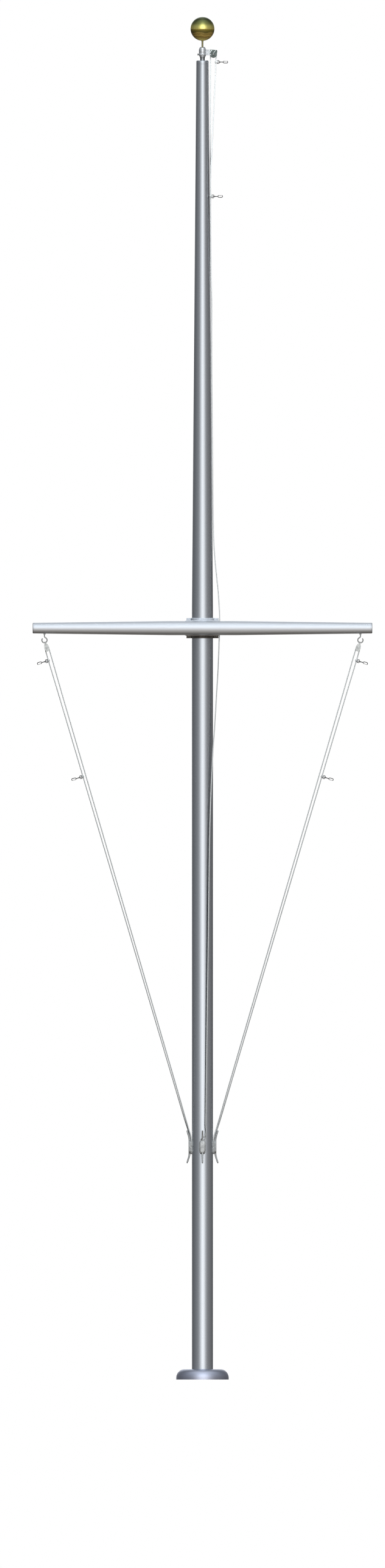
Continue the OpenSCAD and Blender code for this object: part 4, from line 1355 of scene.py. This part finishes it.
def make_yard_halyard(side, label):
    """The taut rope from a side cleat over its block and back, with the seizings of its two snaps."""
    up = Vector((side * math.sin(LEAN), 0, math.cos(LEAN)))
    across = Vector((side * math.cos(LEAN), 0, -math.sin(LEAN)))
    centre = Vector((side * BLOCK.x, BLOCK.y, BLOCK.z))
    foot_z = CLEAT_Z + 0.114
    first, second = Vector((side * 0.101, 0, foot_z)), Vector((side * 0.092, 0, foot_z))
    outer, inner = centre + across * BLOCK_GROOVE_R, centre - across * BLOCK_GROOVE_R
    over = [centre + BLOCK_GROOVE_R * (across * math.cos(a) + up * math.sin(a))
            for a in [math.radians(22.5 * k) for k in range(9)]]
    rise = [first.lerp(outer, k / 9) for k in range(1, 9)]
    fall = [second.lerp(inner, k / 9) for k in range(8, 0, -1)]
    heading = 0 if side > 0 else 180
    start, end = on_cleat(TURN + LEAD_SIDE, heading, side), on_cleat(END_SIDE, heading, side)
    mesh, _ = rope_mesh("yard_rope", start + rise + over + fall + end)
    piece("yard_halyard_rope_" + label, mesh, ROPE, "root", ["yard_halyard_" + label])
    for part in ("upper", "lower"):
        make_hitch(label + "_" + part, SNAPS[label + "_" + part], "root")


# ---------------------------------------------------------------- stage, lights and camera

def make_stage():
    """The white floor round the object's foot."""
    bm = bmesh.new()
    bmesh.ops.create_grid(bm, x_segments=1, y_segments=1, size=60)
    mesh = bpy.data.meshes.new("floor")
    bm.to_mesh(mesh)
    bm.free()
    paint = Paint("floor_pale", (0.82, 0.82, 0.81), 0.9, Emission_Color=(1, 1, 1, 1), Emission_Strength=0.45)
    noise = paint.add("ShaderNodeTexNoise")
    noise.inputs["Scale"].default_value = 0.7
    paint.links.new(paint.coordinates.outputs["Object"], noise.inputs["Vector"])
    paint.ramp(noise.outputs["Fac"], [(0.3, (0.80, 0.80, 0.79)), (0.7, (0.84, 0.84, 0.83))])
    mesh.materials.append(paint.material)
    floor = bpy.data.objects.new("floor", mesh)
    floor.location.z = -0.0005
    floor.visible_glossy = False
    floor.visible_diffuse = False
    scene.collection.objects.link(floor)


def make_world():
    """White to the camera; to the object, a bright front, dark ground, dim sides and a strip behind."""
    world = bpy.data.worlds.new("studio")
    scene.world = world
    world.use_nodes = True
    t = world.node_tree
    t.nodes.clear()
    new, link = t.nodes.new, t.links.new
    way = new("ShaderNodeTexCoord")
    parts = new("ShaderNodeSeparateXYZ")
    link(way.outputs["Generated"], parts.inputs[0])
    x, y, z = parts.outputs

    def ramp(value, low, high, stops):
        node = new("ShaderNodeValToRGB")
        while len(node.color_ramp.elements) < len(stops):
            node.color_ramp.elements.new(0.5)
        for element, (at, colour) in zip(node.color_ramp.elements, stops):
            element.position = (at - low) / (high - low)
            element.color = (*colour, 1)
        scale = new("ShaderNodeMapRange")
        scale.inputs["From Min"].default_value = low
        scale.inputs["From Max"].default_value = high
        link(value, scale.inputs["Value"])
        link(scale.outputs["Result"], node.inputs["Fac"])
        return node.outputs["Color"]

    def blend(kind, factor, a, b):
        node = new("ShaderNodeMix")
        node.data_type = "RGBA"
        node.blend_type = kind
        node.clamp_result = False
        if isinstance(factor, float):
            node.inputs[0].default_value = factor
        else:
            link(factor, node.inputs[0])
        link(a, node.inputs[6])
        link(b, node.inputs[7])
        return node.outputs[2]

    flat = maths(t, "SQRT", maths(t, "ADD", maths(t, "MULTIPLY", x, x), maths(t, "MULTIPLY", y, y)))
    flat = maths(t, "MAXIMUM", flat, 0.001)
    turn = math.radians(3)
    sideways = maths(t, "MULTIPLY", x, math.sin(turn))
    toward = maths(t, "SUBTRACT", sideways, maths(t, "MULTIPLY", y, math.cos(turn)))
    front = maths(t, "DIVIDE", toward, flat)
    ring = ramp(front, -1, 1, RING)
    tint = ramp(maths(t, "DIVIDE", x, flat), -1, 1, [
        (-1, (0.96, 0.985, 1.03)), (0, (1, 1, 1)), (1, (1, 0.99, 1))])
    around = blend("MULTIPLY", 1.0, ring, tint)
    level = blend("MULTIPLY", 1.0, around, ramp(z, -1, 1, ABOVE))
    steep = maths(t, "POWER", maths(t, "ABSOLUTE", z), 4.0)
    above = maths(t, "GREATER_THAN", z, 0.0)
    poles = blend("MIX", above, ramp(toward, -1, 1, UNDER), ramp(toward, -1, 1, OVER))
    total = blend("MIX", steep, level, poles)
    background = new("ShaderNodeBackground")
    link(total, background.inputs["Color"])
    white = new("ShaderNodeBackground")
    white.inputs["Color"].default_value = (1, 1, 1, 1)
    seen = new("ShaderNodeLightPath")
    strength = maths(t, "SUBTRACT", 2.0, maths(t, "MULTIPLY", seen.outputs["Is Diffuse Ray"], 1.25))
    link(strength, background.inputs["Strength"])
    choose = new("ShaderNodeMixShader")
    out = new("ShaderNodeOutputWorld")
    link(seen.outputs["Is Camera Ray"], choose.inputs["Fac"])
    link(background.outputs["Background"], choose.inputs[1])
    link(white.outputs["Background"], choose.inputs[2])
    link(choose.outputs["Shader"], out.inputs["Surface"])


def grey(level, red=1.0, blue=1.0):
    """A nearly neutral colour."""
    return (level * red, level, level * blue)


# brightness round the horizon, by the cosine of the angle from straight in front; the world doubles it
RING = [(-1, grey(0.55)), (-0.97, grey(0.34)), (-0.90, grey(0.12)), (-0.62, grey(0.10)),
        (-0.3, grey(0.115)), (0, grey(0.145)), (0.3, grey(0.17)), (0.66, grey(0.21)), (0.86, grey(0.40)),
        (0.94, grey(0.66)), (0.985, grey(0.90)), (1, grey(0.98))]
# how that changes with height, by the sine of the elevation
ABOVE = [(-1, grey(0.08, 1.12, 0.83)), (-0.87, grey(0.24, 1.1, 0.88)), (-0.73, grey(0.32, 1.08, 0.9)),
         (-0.57, grey(0.38, 1.06, 0.93)), (-0.39, grey(0.47, 1.05, 0.95)), (-0.2, grey(0.62, 1.03, 0.97)),
         (0, grey(0.85)), (0.2, grey(0.95, 0.98, 1.02)), (0.39, grey(1.04, 0.96, 1.03)),
         (0.57, grey(1.00, 0.95, 1.05)), (0.73, grey(0.92, 0.94, 1.06)), (0.87, grey(0.75, 0.94, 1.06)),
         (1, grey(0.55, 0.94, 1.06))]
# straight up and straight down, by how far towards the front
OVER = [(-1, grey(0.045)), (-0.62, grey(0.13, 0.96, 1.02)), (-0.28, grey(0.29, 0.95, 1.05)),
        (0, grey(0.47, 0.94, 1.06)), (0.5, grey(0.70, 0.94, 1.06)), (1, grey(1.05, 0.95, 1.05))]
UNDER = [(-1, grey(0.08, 1.1, 0.85)), (-0.62, grey(0.07, 1.1, 0.85)), (0, grey(0.06, 1.12, 0.83)),
         (0.28, grey(0.15, 1.1, 0.86)), (0.5, grey(0.23, 1.08, 0.9)), (1, grey(0.5, 1.05, 0.95))]


def lamp(name, place, target, size, watts, colour=(1, 1, 1)):
    """A soft rectangular lamp aimed at a point, which neither the camera nor a reflection sees."""
    data = bpy.data.lights.new(name, "AREA")
    data.shape = "RECTANGLE"
    data.size, data.size_y = size
    data.energy = watts
    data.color = colour
    obj = bpy.data.objects.new(name, data)
    obj.location = place
    obj.rotation_euler = (Vector(target) - Vector(place)).to_track_quat("-Z", "Y").to_euler()
    obj.visible_camera = False
    obj.visible_glossy = False
    scene.collection.objects.link(obj)


def make_lights():
    """A key from the front right, a large soft lamp overhead and a weak fill from behind."""
    lamp("front_key", (3.5, -12, 9), (0, 0, 4.7), (3, 5), 2300)
    lamp("top_soft", (0, -2.5, 15), (0, 0, 5), (4, 4), 2600, (0.93, 0.97, 1.0))
    lamp("back_fill", (-6, 12, 7), (0, 0, 4.7), (8, 12), 1100)


def make_camera():
    """Level, straight on and without perspective."""
    data = bpy.data.cameras.new("camera")
    data.type = "ORTHO"
    data.ortho_scale = 10.869
    data.clip_end = 200
    camera = bpy.data.objects.new("camera", data)
    camera.location = (-0.0691, -25, 4.1286)
    camera.rotation_euler = (math.pi / 2, 0, 0)
    scene.collection.objects.link(camera)
    scene.camera = camera


make_camera()
make_world()
make_lights()
make_stage()

make_mast()
make_plug()
make_collar()
make_spindle()
make_ball()
make_truck_housing()
make_truck_arm()
make_hood()
make_truck_lid()
make_sheave("truck_wheel_groove", SHEAVE, GROOVE_R, 0.0065, 0.0044, "truck_wheel", "truck_sheave")
make_yard()
make_saddle()
make_eyes()
for side, label in ((-1, "left"), (1, "right")):
    make_block(side, label)
    make_sheave("block_wheel_" + label, (side * BLOCK.x, BLOCK.y, BLOCK.z), BLOCK_GROOVE_R, 0.0054, 0.0034,
                label + "_wheel", "block_sheave_" + label)
for heading, label in ((-90, "front"), (180, "left"), (0, "right")):
    make_cleat(heading, label)
for label, place in SNAPS.items():
    carrier = "truck" if label.startswith("mast") else "root"
    make_bail(label, place, carrier)
    make_hook(label, place, "hook_" + label)
    make_gate(label, place, "gate_" + label)
make_mast_halyard()
for side, label in ((-1, "left"), (1, "right")):
    make_yard_halyard(side, label)
for node in ("truck_set_screws", "truck_sheave_axle"):
    piece(node + "_turned", from_cad(node, 0.0006), DARK_STEEL, "truck", [node])

scene.view_settings.view_transform = "Standard"
scene.view_settings.look = "None"
bpy.context.view_layer.update()
